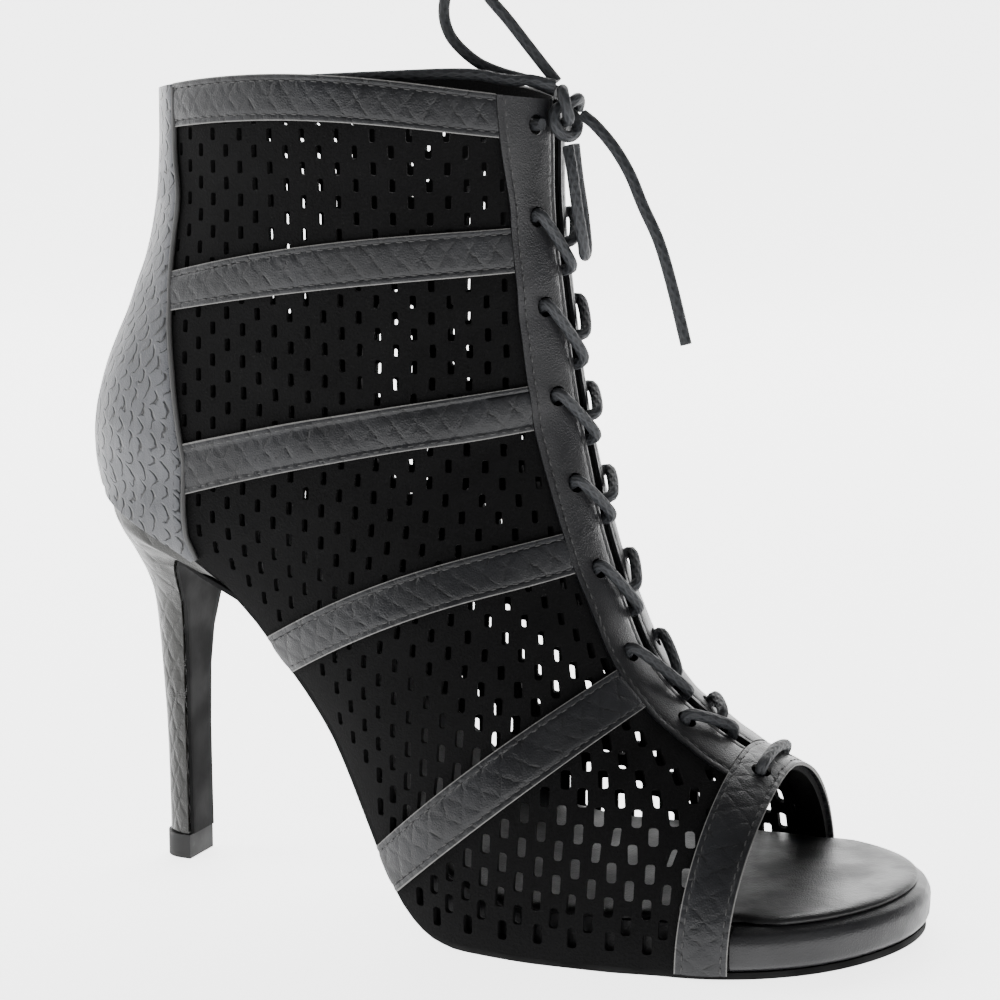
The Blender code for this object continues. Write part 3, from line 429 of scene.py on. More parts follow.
def foot_point(side, foot):
    """Point of the foot line: along the sole's edge, round the seat, then up the back."""
    if foot <= 1:
        front = strap_foot_x(side)
        x = front + (SEAT_X - front) * foot
        return x, edge_y(side, x), seam_z(x) + SEAM_GAP
    if foot <= 2:
        turn = (foot - 1) * math.pi / 2
        x = SEAT_X - SEAT_ROUND * math.sin(turn)
        return x, side * SEAT_WIDTH / 2 * math.cos(turn), seam_z(x) + SEAM_GAP
    rise = foot - 2
    x = LENGTH * look_up(BACK, BACK_COLUMNS, "x", rise)
    return x, 0.0, seam_z(SEAT_OVERHANG) + SEAM_GAP + rise * SHAFT_HEIGHT


def section_places():
    """u of each row of SECTIONS, spaced by how far its ends lie from the row before."""
    collar = HEEL_HEIGHT + SHAFT_HEIGHT
    ends = [
        (LENGTH * row[0], collar * row[1], *foot_point(LATERAL, row[2])) for row in SECTIONS
    ]
    places = np.concatenate([[0.0], np.cumsum([math.dist(a, b) for a, b in zip(ends, ends[1:])])])
    return places / places[-1]


SECTION_U = section_places()


def section(side, u, vs):
    """Points of one section at every v, bowed up by its crown."""
    row = {
        name: float(smooth(u, SECTION_U, column(SECTIONS, SECTION_COLUMNS, name)))
        for name in SECTION_COLUMNS
    }
    throat_x = LENGTH * row["throat_x"]
    throat_z = (HEEL_HEIGHT + SHAFT_HEIGHT) * row["throat_z"]
    foot_x, foot_y, foot_z = foot_point(side, row["foot"])
    half = BALL_WIDTH * row["ball"] + ANKLE_WIDTH * row["ankle"]
    shift = BALL_WIDTH * row["shift"]
    reach = min(max(side * (foot_y - shift) / half, 0.0), 1.0)
    start = math.asin((THROAT_GAP / 2 / half) ** (1 / row["front"]))
    end = math.pi - math.asin(reach ** (1 / row["rear"]))
    turn = start + vs * (end - start)
    along = (1 - np.cos(turn)) / (1 - math.cos(end))
    run_x, run_z = throat_x - foot_x, throat_z - foot_z
    lift = SHAFT_HEIGHT * row["crown"] * np.sin(math.pi * along) / math.hypot(run_x, run_z)
    x = throat_x - run_x * along - run_z * lift
    z = throat_z - run_z * along + run_x * lift
    power = np.where(turn < math.pi / 2, row["front"], row["rear"])
    y = shift * along + side * half * np.maximum(0.0, np.sin(turn)) ** power
    return np.stack([x, y, z], -1)


def crease_depth(points):
    """How far the creases push the surface in."""
    depth = np.zeros(points.shape[:-1])
    for row in CREASES:
        crease = dict(zip(CREASE_COLUMNS, row))
        x = points[..., 0] - LENGTH * crease["x"]
        z = points[..., 2] - (HEEL_HEIGHT + SHAFT_HEIGHT) * crease["z"]
        turn = math.radians(crease["turn"])
        along = x * math.cos(turn) + z * math.sin(turn)
        across = z * math.cos(turn) - x * math.sin(turn)
        along = (along / crease["long"]) ** 2
        across = across / crease["wide"]
        bowl, ridge = (np.exp(-along - (across - middle) ** 2) for middle in (0.0, RIDGE_AWAY))
        depth += crease["depth"] * (bowl - RIDGE_HEIGHT * ridge)
    return depth


def find_normals(points, side):
    along_u = np.gradient(points, axis=0)
    along_v = np.gradient(points, axis=1)
    normals = side * np.cross(along_v, along_u)
    return normals / np.linalg.norm(normals, axis=-1)[..., None]


class Side:
    """The dense grid of points and normals of one side of the upper."""

    def __init__(self, side):
        self.u = np.linspace(0.0, 1.0, ROWS)
        self.v = np.linspace(0.0, 1.0, COLUMNS)
        self.points = np.array([section(side, u, self.v) for u in self.u])
        normals = find_normals(self.points, side)
        fade = ease(self.v / CREASE_FADE) * ease((1 - self.v) / CREASE_FADE)
        self.points -= (crease_depth(self.points) * fade[None, :])[..., None] * normals
        self.normals = find_normals(self.points, side)
        foot = smooth(self.u, SECTION_U, column(SECTIONS, SECTION_COLUMNS, "foot"))
        self.normals[foot >= 2, -1, 1] = 0.0
        self.normals /= np.linalg.norm(self.normals, axis=-1)[..., None]
        self.reach = np.linalg.norm(self.points - self.points[:, :1], axis=-1)
        rise = (self.points[..., 2] - seam_z(SEAT_OVERHANG)) / SHAFT_HEIGHT
        seam = look_up(COUNTER, COUNTER_COLUMNS, "x", rise)
        self.ahead = self.points[..., 0] - LENGTH * seam

    def at(self, grid, u, v):
        """Values of a grid at u and v, between its points."""
        u, v = np.broadcast_arrays(np.asarray(u, float), np.asarray(v, float))
        i = np.clip(u, 0.0, 1.0) * (ROWS - 1)
        j = np.clip(v, 0.0, 1.0) * (COLUMNS - 1)
        i0 = np.minimum(i.astype(int), ROWS - 2)
        j0 = np.minimum(j.astype(int), COLUMNS - 2)
        s, t = i - i0, j - j0
        if grid.ndim == 3:
            s, t = s[..., None], t[..., None]
        near = grid[i0, j0] * (1 - s) + grid[i0 + 1, j0] * s
        far = grid[i0, j0 + 1] * (1 - s) + grid[i0 + 1, j0 + 1] * s
        return near * (1 - t) + far * t

    def skin(self, u, v, proud=0.0):
        proud = np.asarray(proud, float)
        return self.at(self.points, u, v) + proud[..., None] * self.normal(u, v)

    def normal(self, u, v):
        normals = self.at(self.normals, u, v)
        return normals / np.linalg.norm(normals, axis=-1)[..., None]

    def v_from_throat(self, u, distance):
        """v that lies this far down the section from the throat edge."""
        u, distance = np.broadcast_arrays(np.asarray(u, float), np.asarray(distance, float))
        out = np.zeros(u.shape)
        half = COLUMNS // 2
        for place in np.ndindex(u.shape):
            i = min(int(u[place] * (ROWS - 1)), ROWS - 2)
            share = u[place] * (ROWS - 1) - i
            low, high = (
                np.interp(distance[place], self.reach[row, :half], self.v[:half])
                for row in (i, i + 1)
            )
            out[place] = low * (1 - share) + high * share
        return out

    @functools.lru_cache(maxsize=None)
    def counter_line(self, ahead):
        """v where each row passes the counter's front seam, or 1 where all of it lies in front."""
        line = np.ones(ROWS)
        for i, row in enumerate(self.ahead - ahead):
            if row[-1] < 0:
                line[i] = np.interp(0.0, -row[40:], self.v[40:])
        return line

    def counter_start(self):
        """u of the first row that reaches the counter."""
        return float(self.u[np.argmax(self.counter_line(0.0) < 1.0)])

    def v_at_counter(self, u, ahead=0.0):
        return np.interp(u, self.u, self.counter_line(ahead))

    def strap_u(self, v, distance):
        """u that lies this far from the toe strap's front edge at the same v."""
        v = np.asarray(v, float)
        out = np.zeros(v.shape)
        for place in np.ndindex(v.shape):
            line = self.at(self.points, self.u[:120], v[place])
            out[place] = np.interp(distance, np.linalg.norm(line - line[0], axis=1), self.u[:120])
        return out


SIDES = {side: Side(side) for side in (LATERAL, MEDIAL)}


def eyestay_width(u):
    return EYESTAY_WIDTH + EYESTAY_FLARE * ease((np.asarray(u, float) - 0.86) / 0.14)


def to_world(point):
    return ((point[0] - DATUM_X) * MM, point[1] * MM, point[2] * MM)


class Graph:
    """A material's node tree and the few calls that build it."""

    def __init__(self, name, colour, roughness):
        self.material = bpy.data.materials.new(name)
        self.material.use_nodes = True
        self.tree = self.material.node_tree
        self.shader = self.tree.nodes["Principled BSDF"]
        self.shader.inputs["Base Color"].default_value = (*colour, 1.0)
        self.shader.inputs["Roughness"].default_value = roughness

    def add(self, kind, values=None, **settings):
        node = self.tree.nodes.new(kind)
        for name, value in settings.items():
            setattr(node, name, value)
        for place, value in (values or {}).items():
            self.put(node.inputs[place], value)
        return node

    def put(self, socket, value):
        if isinstance(value, bpy.types.NodeSocket):
            self.tree.links.new(value, socket)
        else:
            socket.default_value = value

    def math(self, operation, *values):
        return self.add("ShaderNodeMath", dict(enumerate(values)), operation=operation).outputs[0]

    def step(self, value, low, high, start=0.0, end=1.0):
        """The value moved smoothly from start to end as it goes from low to high."""
        node = self.add("ShaderNodeMapRange", interpolation_type="SMOOTHSTEP")
        for place, number in enumerate((value, low, high, start, end)):
            self.put(node.inputs[place], number)
        return node.outputs[0]

    def mix(self, share, first, second):
        node = self.add("ShaderNodeMix", data_type="RGBA")
        self.put(node.inputs[0], share)
        self.put(node.inputs[6], first)
        self.put(node.inputs[7], second)
        return node.outputs[2]

    def noise(self, at, scale, detail=3.0):
        node = self.add("ShaderNodeTexNoise", {"Vector": at, "Scale": scale, "Detail": detail})
        return node.outputs[0]

    def cells(self, at, scale):
        values = {"Vector": at, "Scale": scale}
        node = self.add("ShaderNodeTexVoronoi", values, feature="DISTANCE_TO_EDGE")
        return node.outputs["Distance"]

    def place(self):
        return self.add("ShaderNodeTexCoord").outputs["Object"]

    def chart(self, name="chart"):
        return self.add("ShaderNodeUVMap", uv_map=name).outputs[0]

    def split(self, vector):
        return self.add("ShaderNodeSeparateXYZ", {0: vector}).outputs

    def bump(self, height, depth_mm, normal=None):
        values = {"Height": height, "Distance": depth_mm * MM, "Strength": 1.0}
        if normal is not None:
            values["Normal"] = normal
        return self.add("ShaderNodeBump", values).outputs[0]

    def finish(self, colour=None, roughness=None, normal=None, **constants):
        for name, value in (("Base Color", colour), ("Roughness", roughness), ("Normal", normal)):
            if value is not None:
                self.put(self.shader.inputs[name], value)
        for name, value in constants.items():
            self.shader.inputs[name.replace("_", " ")].default_value = value
        return self.material


def shade(colour, factor):
    return (*(channel * factor for channel in colour), 1.0)


def leather_grain(graph, normal=None):
    """Fine pebbles and softer waves, as bump."""
    at = graph.place()
    pebbles = graph.step(graph.cells(at, 1500.0), 0.0, 0.35)
    waves = graph.noise(at, 260.0, 4.0)
    return graph.bump(pebbles, 0.035, graph.bump(waves, 0.10, normal))


def scale_marks(graph, size, notch):
    """Height of staggered embossed scales and the painted shade in their grooves, from the piece's
    chart in millimetres.
    """
    chart = graph.chart()
    wander = graph.noise(chart, 0.22, 2.0)
    parts = graph.split(chart)
    along = graph.math("ADD", graph.math("DIVIDE", parts[0], size[0]), wander)
    across = graph.math("ADD", graph.math("DIVIDE", parts[1], size[1]), wander)
    row = graph.math("FLOOR", across)
    shift = graph.math("MULTIPLY", graph.math("PINGPONG", row, 1.0), 0.5)
    cell_x = graph.math("SUBTRACT", graph.math("FRACT", graph.math("ADD", along, shift)), 0.5)
    cell_y = graph.math("SUBTRACT", graph.math("FRACT", across), 0.5)
    # A scale is a dome that falls off towards the rounded front that overlaps the next row
    bend = graph.math("MULTIPLY", graph.math("MULTIPLY", cell_x, cell_x), 2.4)
    front = graph.math("ADD", graph.math("ADD", cell_y, 0.32), graph.math("MULTIPLY", bend, -1.0))
    lip = graph.math("ABSOLUTE", front)
    groove = graph.step(lip, 0.02, notch, 1.0, 0.0)
    sides = graph.step(graph.math("ABSOLUTE", cell_x), 0.30, 0.46, 1.0, 0.0)
    # The groove mask also sets where painted shade darkens the colour
    groove_and_painted_shade = graph.math("MULTIPLY", groove, sides)
    dome = graph.math("SUBTRACT", 1.0, graph.math("MULTIPLY", cell_y, cell_y))
    height = graph.math("SUBTRACT", graph.math("MULTIPLY", dome, 0.5), groove_and_painted_shade)
    return height, groove_and_painted_shade


def diamond_marks(graph, size, notch):
    """Height of slanting embossed diamonds and the painted shade in their grooves, from the piece's
    chart.
    """
    chart = graph.chart()
    wander = graph.math("MULTIPLY", graph.noise(chart, 0.25, 2.0), 0.5)
    parts = graph.split(chart)
    along = graph.math("ADD", graph.math("DIVIDE", parts[0], size[0]), wander)
    across = graph.math("DIVIDE", parts[1], size[1])
    lines = []
    for operation in ("ADD", "SUBTRACT"):
        saw = graph.math("FRACT", graph.math(operation, along, across))
        away = graph.math("ABSOLUTE", graph.math("SUBTRACT", saw, 0.5))
        lines.append(graph.math("SUBTRACT", 0.5, away))
    nearest = graph.math("MINIMUM", *lines)
    # The groove mask also sets where painted shade darkens the colour, in random patches
    groove_and_painted_shade = graph.step(nearest, 0.02, notch, 1.0, 0.0)
    patchy = graph.step(graph.noise(chart, 0.35, 2.0), 0.45, 0.70, 0.0, 0.8)
    groove_and_painted_shade = graph.math("MULTIPLY", groove_and_painted_shade, patchy)
    height = graph.math("SUBTRACT", graph.step(nearest, 0.0, 0.3), groove_and_painted_shade)
    return height, groove_and_painted_shade


def embossed_leather(name, colour, size, notch=0.16, depth=0.4, rough=0.36, marks=scale_marks):
    graph = Graph(name, colour, rough)
    height, groove_and_painted_shade = marks(graph, size, notch)
    patches = graph.step(graph.noise(graph.place(), 55.0), 0.35, 0.7)
    base = graph.mix(patches, shade(colour, 0.8), shade(colour, 1.25))
    # Painted shade: the grooves of the scales and diamonds are darkened nearly to black
    base = graph.mix(graph.math("MULTIPLY", groove_and_painted_shade, 0.95), base, shade(colour, 0.06))
    edge = graph.split(graph.chart("edge"))[0]
    raw = graph.step(edge, 0.16, 0.34, 0.9, 0.0)
    base = graph.mix(raw, base, (*RAW_EDGE, 1.0))
    roughness = graph.step(graph.noise(graph.place(), 120.0), 0.3, 0.7, rough - 0.06, rough + 0.1)
    roughness = graph.math("ADD", roughness, graph.math("MULTIPLY", raw, 0.3))
    normal = leather_grain(graph, graph.bump(height, depth))
    return graph.finish(base, roughness, normal, Specular_IOR_Level=0.28)


def smooth_leather(name, colour, rough=0.38):
    graph = Graph(name, colour, rough)
    at = graph.place()
    patches = graph.step(graph.noise(at, 40.0), 0.3, 0.75)
    base = graph.mix(patches, shade(colour, 0.75), shade(colour, 1.3))
    roughness = graph.step(graph.noise(at, 90.0), 0.3, 0.7, rough - 0.07, rough + 0.1)
    return graph.finish(base, roughness, leather_grain(graph), Specular_IOR_Level=0.34)


def suede_material(colour):
    graph = Graph("perforated_suede", colour, 0.95)
    at = graph.place()
    nap = graph.noise(at, 1800.0, 5.0)
    brushed = graph.noise(at, 70.0, 2.0)
    base = graph.mix(graph.step(nap, 0.3, 0.75), shade(colour, 0.6), shade(colour, 1.7))
    base = graph.mix(graph.step(brushed, 0.35, 0.7, 0.0, 0.45), base, shade(colour, 1.9))
    normal = graph.bump(nap, 0.22, graph.bump(brushed, 0.12))
    return graph.finish(base, 0.95, normal, Specular_IOR_Level=0.12)


def raw_edge_material():
    graph = Graph("cut_edge", RAW_EDGE, 0.8)
    fibres = graph.noise(graph.place(), 2600.0, 4.0)
    base = graph.mix(fibres, shade(RAW_EDGE, 0.5), shade(RAW_EDGE, 1.4))
    return graph.finish(base, 0.8, graph.bump(fibres, 0.08))


def thread_material():
    graph = Graph("thread", (0.01, 0.01, 0.01), 0.6)
    fibres = graph.noise(graph.place(), 5200.0, 2.0)
    base = graph.mix(fibres, (0.004, 0.004, 0.004, 1.0), (0.03, 0.03, 0.03, 1.0))
    return graph.finish(base, 0.6, graph.bump(fibres, 0.05))


def lace_material(colour):
    graph = Graph("braided_lace", colour, 0.62)
    parts = graph.split(graph.chart())
    turns = graph.math("MULTIPLY", parts[1], 6.0)
    run = graph.math("DIVIDE", parts[0], BRAID)
    one = graph.math("SINE", graph.math("MULTIPLY", graph.math("ADD", run, turns), math.tau))
    other = graph.math("SINE", graph.math("MULTIPLY", graph.math("SUBTRACT", run, turns), math.tau))
    weave = graph.math("MAXIMUM", one, other)
    fluff = graph.noise(graph.place(), 3000.0, 3.0)
    # Painted shade: the braid is darker between its strands and lighter on their crests
    base = graph.mix(graph.step(weave, -0.4, 0.9), shade(colour, 0.65), shade(colour, 1.3))
    base = graph.mix(graph.step(fluff, 0.4, 0.8, 0.0, 0.3), base, shade(colour, 2.4))
    normal = graph.bump(fluff, 0.04, graph.bump(weave, 0.09))
    return graph.finish(base, 0.62, normal, Specular_IOR_Level=0.35)


def sole_material(name, colour, rough):
    graph = Graph(name, colour, rough)
    at = graph.place()
    scuffs = graph.step(graph.noise(at, 220.0, 6.0), 0.55, 0.75)
    base = graph.mix(scuffs, shade(colour, 1.0), shade(colour, 2.0))
    roughness = graph.step(graph.noise(at, 90.0), 0.3, 0.7, rough - 0.08, rough + 0.12)
    normal = graph.bump(graph.noise(at, 900.0), 0.04)
    return graph.finish(base, roughness, normal, Specular_IOR_Level=0.15)


def floor_material():
    graph = Graph("pale_floor", (0.86, 0.86, 0.86), 0.7)
    mottled = graph.noise(graph.place(), 3.0, 2.0)
    base = graph.mix(mottled, (0.85, 0.85, 0.85, 1.0), (0.87, 0.87, 0.87, 1.0))
    return graph.finish(base, Emission_Color=(1.0, 1.0, 1.0, 1.0), Emission_Strength=3.3)


@functools.lru_cache(maxsize=None)
def material(name):
    """The named material, made once from the colours in the panel."""
    panel = bpy.context.scene.bootie_colours
    colour = tuple(getattr(panel, name, ()))
    if name == "suede":
        return suede_material(colour)
    if name == "counter":
        return embossed_leather("counter_leather", colour, (5.0, 3.9))
    if name == "bands":
        diamonds = (5.6, 7.4)
        return embossed_leather("band_leather", colour, diamonds, 0.09, 0.08, 0.38, diamond_marks)
    if name == "heel":
        diamonds = (7.0, 9.0)
        return embossed_leather("heel_leather", colour, diamonds, 0.08, 0.15, 0.32, diamond_marks)
    if name == "smooth":
        return smooth_leather("smooth_leather", colour)
    if name == "insole":
        return smooth_leather("insole_leather", colour, 0.42)
    if name == "lace":
        return lace_material(colour)
    if name == "sole":
        return sole_material("outsole_black", (0.002, 0.002, 0.0021), 0.8)
    if name == "lift":
        return sole_material("top_lift_black", (0.02, 0.02, 0.02), 0.6)
    return {"edge": raw_edge_material, "thread": thread_material, "floor": floor_material}[name]()


def new_mesh():
    """An empty mesh with the two charts that the materials read."""
    bm = bmesh.new()
    for name in ("chart", "edge"):
        bm.loops.layers.uv.new(name)
    return bm


def add_grid(bm, points, chart=None, edge=None, facing=None):
    """A grid through points[i, j] in design millimetres, with its charts, turned to facing."""
    rows, columns = points.shape[0] - 1, points.shape[1] - 1
    made = bmesh.ops.create_grid(bm, x_segments=rows, y_segments=columns, size=1.0)["verts"]
    world = (points - (DATUM_X, 0.0, 0.0)) * MM
    at = {}
    for vert in made:
        place = (round((vert.co.x + 1) / 2 * rows), round((vert.co.y + 1) / 2 * columns))
        at[vert] = place
        vert.co = world[place]
    faces = {face for vert in made for face in vert.link_faces}
    for name, values in (("chart", chart), ("edge", edge)):
        layer = bm.loops.layers.uv[name]
        for face in faces:
            for loop in face.loops:
                if values is not None:
                    loop[layer].uv = values[at[loop.vert]]
                elif name == "edge":
                    loop[layer].uv = (5.0, 5.0)
    if facing is not None:
        towards = 0.0
        for face in faces:
            face.normal_update()
            towards += face.normal.dot(Vector(facing)) * face.calc_area()
        if towards < 0:
            bmesh.ops.reverse_faces(bm, faces=list(faces))
    return made


def to_mesh(name, bm):
    mesh = bpy.data.meshes.new(name)
    bm.to_mesh(mesh)
    bm.free()
    return mesh


def add_object(name, data):
    made = bpy.data.objects.new(name, data)
    bpy.context.scene.collection.objects.link(made)
    return made


def smooth_faces(mesh, sharp):
    mesh.shade_smooth()
    mesh.set_sharp_from_angle(angle=math.radians(sharp))


def add_piece(name, bm, materials, nodes=(), sharp=35.0):
    """The finished object: it rides on the shoe and stands for its CAD nodes."""
    mesh = to_mesh(name, bm)
    smooth_faces(mesh, sharp)
    piece = add_object(name, mesh)
    for item in materials:
        mesh.materials.append(material(item))
    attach(piece, "root")
    if nodes:
        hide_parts(*nodes)
    return piece


def wall(piece, thickness, outwards, rim=0, even=True):
    solid = piece.modifiers.new("Wall", "SOLIDIFY")
    solid.thickness = thickness * MM
    solid.offset = 1.0 if outwards else -1.0
    solid.use_even_offset = even
    solid.material_offset_rim = rim
    return solid


def round_edges(piece, width, segments=2):
    bevel = piece.modifiers.new("Soft edges", "BEVEL")
    bevel.width = width * MM
    bevel.segments = segments
    bevel.limit_method = "ANGLE"
    bevel.angle_limit = math.radians(40)
    bevel.use_clamp_overlap = True


def apply_all(piece, sharp=35.0):
    """The piece's mesh with its modifiers applied."""
    graph = bpy.context.evaluated_depsgraph_get()
    made = bpy.data.meshes.new_from_object(piece.evaluated_get(graph))
    piece.modifiers.clear()
    old = piece.data
    piece.data = made
    bpy.data.meshes.remove(old)
    made.name = piece.name
    smooth_faces(made, sharp)
    if not made.polygons:
        raise RuntimeError(f"{piece.name} came out empty")


def cut(piece, bm, solver):
    """Takes the shapes in bm out of the piece."""
    mesh = to_mesh("cutter", bm)
    cutter = add_object("cutter", mesh)
    boolean = piece.modifiers.new("Holes", "BOOLEAN")
    boolean.operation = "DIFFERENCE"
    boolean.solver = solver
    boolean.object = cutter
    apply_all(piece)
    bpy.data.objects.remove(cutter, do_unlink=True)
    bpy.data.meshes.remove(mesh)


def copies(bm, template, matrices):
    """Copies of a template mesh, one for each matrix."""
    for matrix in matrices:
        start = len(bm.verts)
        bm.from_mesh(template)
        bm.verts.ensure_lookup_table()
        bmesh.ops.transform(bm, matrix=matrix, verts=bm.verts[start:])


def frame_at(point, along, normal):
    """Matrix at a design point with x along and z out."""
    normal = Vector(normal).normalized()
    along = Vector(along)
    along = (along - along.dot(normal) * normal).normalized()
    turn = Matrix((along, normal.cross(along), normal)).transposed().to_4x4()
    return Matrix.Translation(Vector(to_world(point))) @ turn


def round_bar(name, length, width, height, segments):
    """A short bar with rounded corners, used for a hole or a stitch."""
    bm = bmesh.new()
    bmesh.ops.create_cube(bm, size=1.0)
    bmesh.ops.scale(bm, vec=(length * MM, width * MM, height * MM), verts=bm.verts)
    upright = [e for e in bm.edges if abs(e.verts[0].co.z - e.verts[1].co.z) > height * MM * 0.9]
    corner = min(length, width) * 0.3 * MM
    bmesh.ops.bevel(
        bm, geom=upright, offset=corner, affect="EDGES", segments=segments, profile=0.5, material=-1
    )
    return to_mesh(name, bm)


def stitch_shape():
    bm = new_mesh()
    bmesh.ops.create_uvsphere(bm, u_segments=6, v_segments=4, radius=1.0)
    bmesh.ops.rotate(bm, verts=bm.verts, matrix=Matrix.Rotation(math.pi / 2, 3, "Y"))
    half = STITCH_LENGTH / 2 * MM
    size = (half, STITCH_HALF_WIDTH * MM, STITCH_HALF_HEIGHT * MM)
    bmesh.ops.scale(bm, vec=size, verts=bm.verts)
    return to_mesh("stitch_shape", bm)


def tube_points(path, radius, around=14):
    """Rings of points round a path, turned as little as possible along it."""
    path = np.asarray(path, float)
    tangent = np.gradient(path, axis=0)
    tangent /= np.linalg.norm(tangent, axis=1)[:, None]
    side = np.cross(tangent[0], (0.31, 0.52, 0.79))
    rings = []
    for point, ahead in zip(path, tangent):
        side = side - side.dot(ahead) * ahead
        side /= np.linalg.norm(side)
        other = np.cross(ahead, side)
        turn = np.linspace(0.0, math.tau, around + 1)[:, None]
        rings.append(point + radius * (np.cos(turn) * side + np.sin(turn) * other))
    return np.array(rings)


def run_lengths(path):
    """Distance travelled along a path at each of its points."""
    steps = np.linalg.norm(np.diff(np.asarray(path, float), axis=0), axis=1)
    return np.concatenate([[0.0], np.cumsum(steps)])


def row_lengths(points):
    """Distance travelled along each row of a grid."""
    steps = np.linalg.norm(np.diff(points, axis=1), axis=-1)
    return np.concatenate([np.zeros((len(points), 1)), np.cumsum(steps, axis=1)], axis=1)


def add_tube(bm, path, radius, around=14):
    """A closed round tube along a path in design millimetres."""
    rings = tube_points(path, radius, around)
    chart = np.zeros((*rings.shape[:2], 2))
    chart[..., 0] = run_lengths(path)[:, None]
    chart[..., 1] = np.linspace(0.0, 1.0, around + 1)[None, :]
    made = add_grid(bm, rings, chart)
    bmesh.ops.remove_doubles(bm, verts=made, dist=0.001 * MM)
    rims = [edge for edge in bm.edges if edge.is_boundary]
    bmesh.ops.holes_fill(bm, edges=rims, sides=0)
    bmesh.ops.recalc_face_normals(bm, faces=bm.faces)


def closed_rings(name, rings, materials, nodes, sharp=35.0):
    """A closed solid from rings[level][station][side], as the CAD makes it but finer."""
    rings = np.asarray(rings, float)
    levels, stations = rings.shape[:2]
    loop = np.concatenate([rings[:, :, 0], rings[:, ::-1, 1], rings[:, :1, 0]], axis=1)
    bm = new_mesh()
    chart = np.zeros((*loop.shape[:2], 2))
    chart[..., 0] = run_lengths(loop[levels // 2])[None, :]
    chart[..., 1] = run_lengths(loop[:, stations // 2])[:, None]
    add_grid(bm, loop, chart)
    for near, far in (rings[level].swapaxes(0, 1) for level in (0, levels - 1)):
        across = np.stack([near * (1 - t) + far * t for t in (0, 0.5, 1)], 1)
        add_grid(bm, across, across[..., :2].copy())
    bmesh.ops.remove_doubles(bm, verts=bm.verts, dist=0.01 * MM)
    bmesh.ops.dissolve_degenerate(bm, edges=bm.edges, dist=0.005 * MM)
    bmesh.ops.recalc_face_normals(bm, faces=bm.faces)
    return add_piece(name, bm, materials, nodes, sharp)


@functools.lru_cache(maxsize=None)
def eyelets():
    """u and v of each eyelet, for both sides."""
    line = SIDES[LATERAL].points[::-1, 0]
    travelled = run_lengths(line)
    places = {}
    for number in range(EYELET_COUNT):
        wanted = EYELET_TOP + number * EYELET_PITCH
        u = float(np.interp(wanted, travelled, SIDES[LATERAL].u[::-1]))
        for side in SIDES:
            places[side, number] = (u, float(SIDES[side].v_from_throat(u, EYELET_INSET)))
    return places


def lacing_route():
    """The lace but for its free ends, by the same turns as its solid."""
    places = eyelets()
    above = GAP + LEATHER + LACE / 2 + 0.5
    below = -(WALL + LACE / 2 + 0.6)

    def over_gap(u, share, height):
        left, right = SIDES[LATERAL], SIDES[MEDIAL]
        start, end = left.skin(u, 0.0), right.skin(u, 0.0)
        normal = left.normal(u, 0.0) + right.normal(u, 0.0)
        return start + (end - start) * share + height * normal / np.linalg.norm(normal)

    def through(side, number):
        u, v = places[side, number]
        return [SIDES[side].skin(u, v, height) for height in (below, -0.4, above)]

    def strand(first_side):
        deeper = below - (LACE + 0.5 if first_side == MEDIAL else 0.0)
        top, following = places[first_side, 0][0], places[-first_side, 1][0]
        points = through(first_side, 0)[::-1]
        points.append(over_gap(top + (following - top) * 0.5, 0.5, deeper))
        side = -first_side
        for number in range(1, EYELET_COUNT):
            points += through(side, number)
            if number < EYELET_COUNT - 1:
                u, following = places[side, number][0], places[-side, number + 1][0]
                drop = (u - following) * (0.60 if side == LATERAL else 0.34)
                near, far = (0.0, 1.0) if side == LATERAL else (1.0, 0.0)
                points.append(over_gap(u - drop * 0.85, near, above + 0.5))
                points.append(over_gap(u - drop, 0.5, 1.4))
                points.append(over_gap(u - drop, 0.5, -1.9))
                points.append(over_gap(u - drop * 1.15, far, below - 0.4))
            side = -side
        return points

    bar_u = places[LATERAL, EYELET_COUNT - 1][0]
    return strand(LATERAL) + [over_gap(bar_u, 0.5, above + 0.3)] + strand(MEDIAL)[::-1]


def spaced(route, spacing):
    """Points this far apart on a smooth curve through the route."""
    route = [np.array(point, float) for point in route]
    ends = [2 * route[0] - route[1], *route, 2 * route[-1] - route[-2]]
    dense = []
    for p, q, r, s in zip(ends, ends[1:], ends[2:], ends[3:]):
        for t in np.arange(24) / 24:
            line = 2 * q + (r - p) * t + (2 * p - 5 * q + 4 * r - s) * t * t
            dense.append(0.5 * (line + (3 * q - p - 3 * r + s) * t**3))
    dense.append(route[-1])
    travelled = run_lengths(dense)
    count = max(2, round(travelled[-1] / spacing))
    wanted = np.linspace(0.0, travelled[-1], count + 1)
    return np.stack([np.interp(wanted, travelled, [p[k] for p in dense]) for k in range(3)], 1)


def knot_middle():
    corner = section(LATERAL, 1.0, np.array([0.0]))[0]
    return np.array([corner[0] + KNOT_PROUD, 0.6 - THROAT_GAP / 2, corner[2] - KNOT_DROP])


def knot_route(count):
    minor = (KNOT_DEPTH - LACE) / 2
    major = (KNOT_HEIGHT - LACE) / 2 - minor
    points = []
    for i in range(count + 1):
        turn = 2 * math.tau * (0.012 + 0.976 * i / count)
        ring = major + minor * math.cos(1.5 * turn)
        offset = (minor * math.sin(1.5 * turn), ring * math.cos(turn), ring * math.sin(turn))
        points.append(knot_middle() + np.array(offset))
    return np.array(points)


def edge_shares(width, inner=6):
    """Shares across a panel, close together at both of its stitched edges."""
    near = [step / width for step in EDGE_STEPS]
    middle = list(np.linspace(near[-1], 1 - near[-1], inner + 2)[1:-1])
    return np.array(near + middle + [1 - share for share in reversed(near)])


def fold(distance):
    """Height of a panel this far from its edge, where it is rolled and drawn in by the thread."""
    distance = np.asarray(distance, float)
    padded = PANEL_PAD * ease((distance - 1.2) / 2.4)
    drawn = THREAD_DEPTH * np.exp(-(((distance - STITCH_INSET) / THREAD_REACH) ** 2))
    return padded - drawn - EDGE_ROLL * (1 - ease(distance / 0.6))


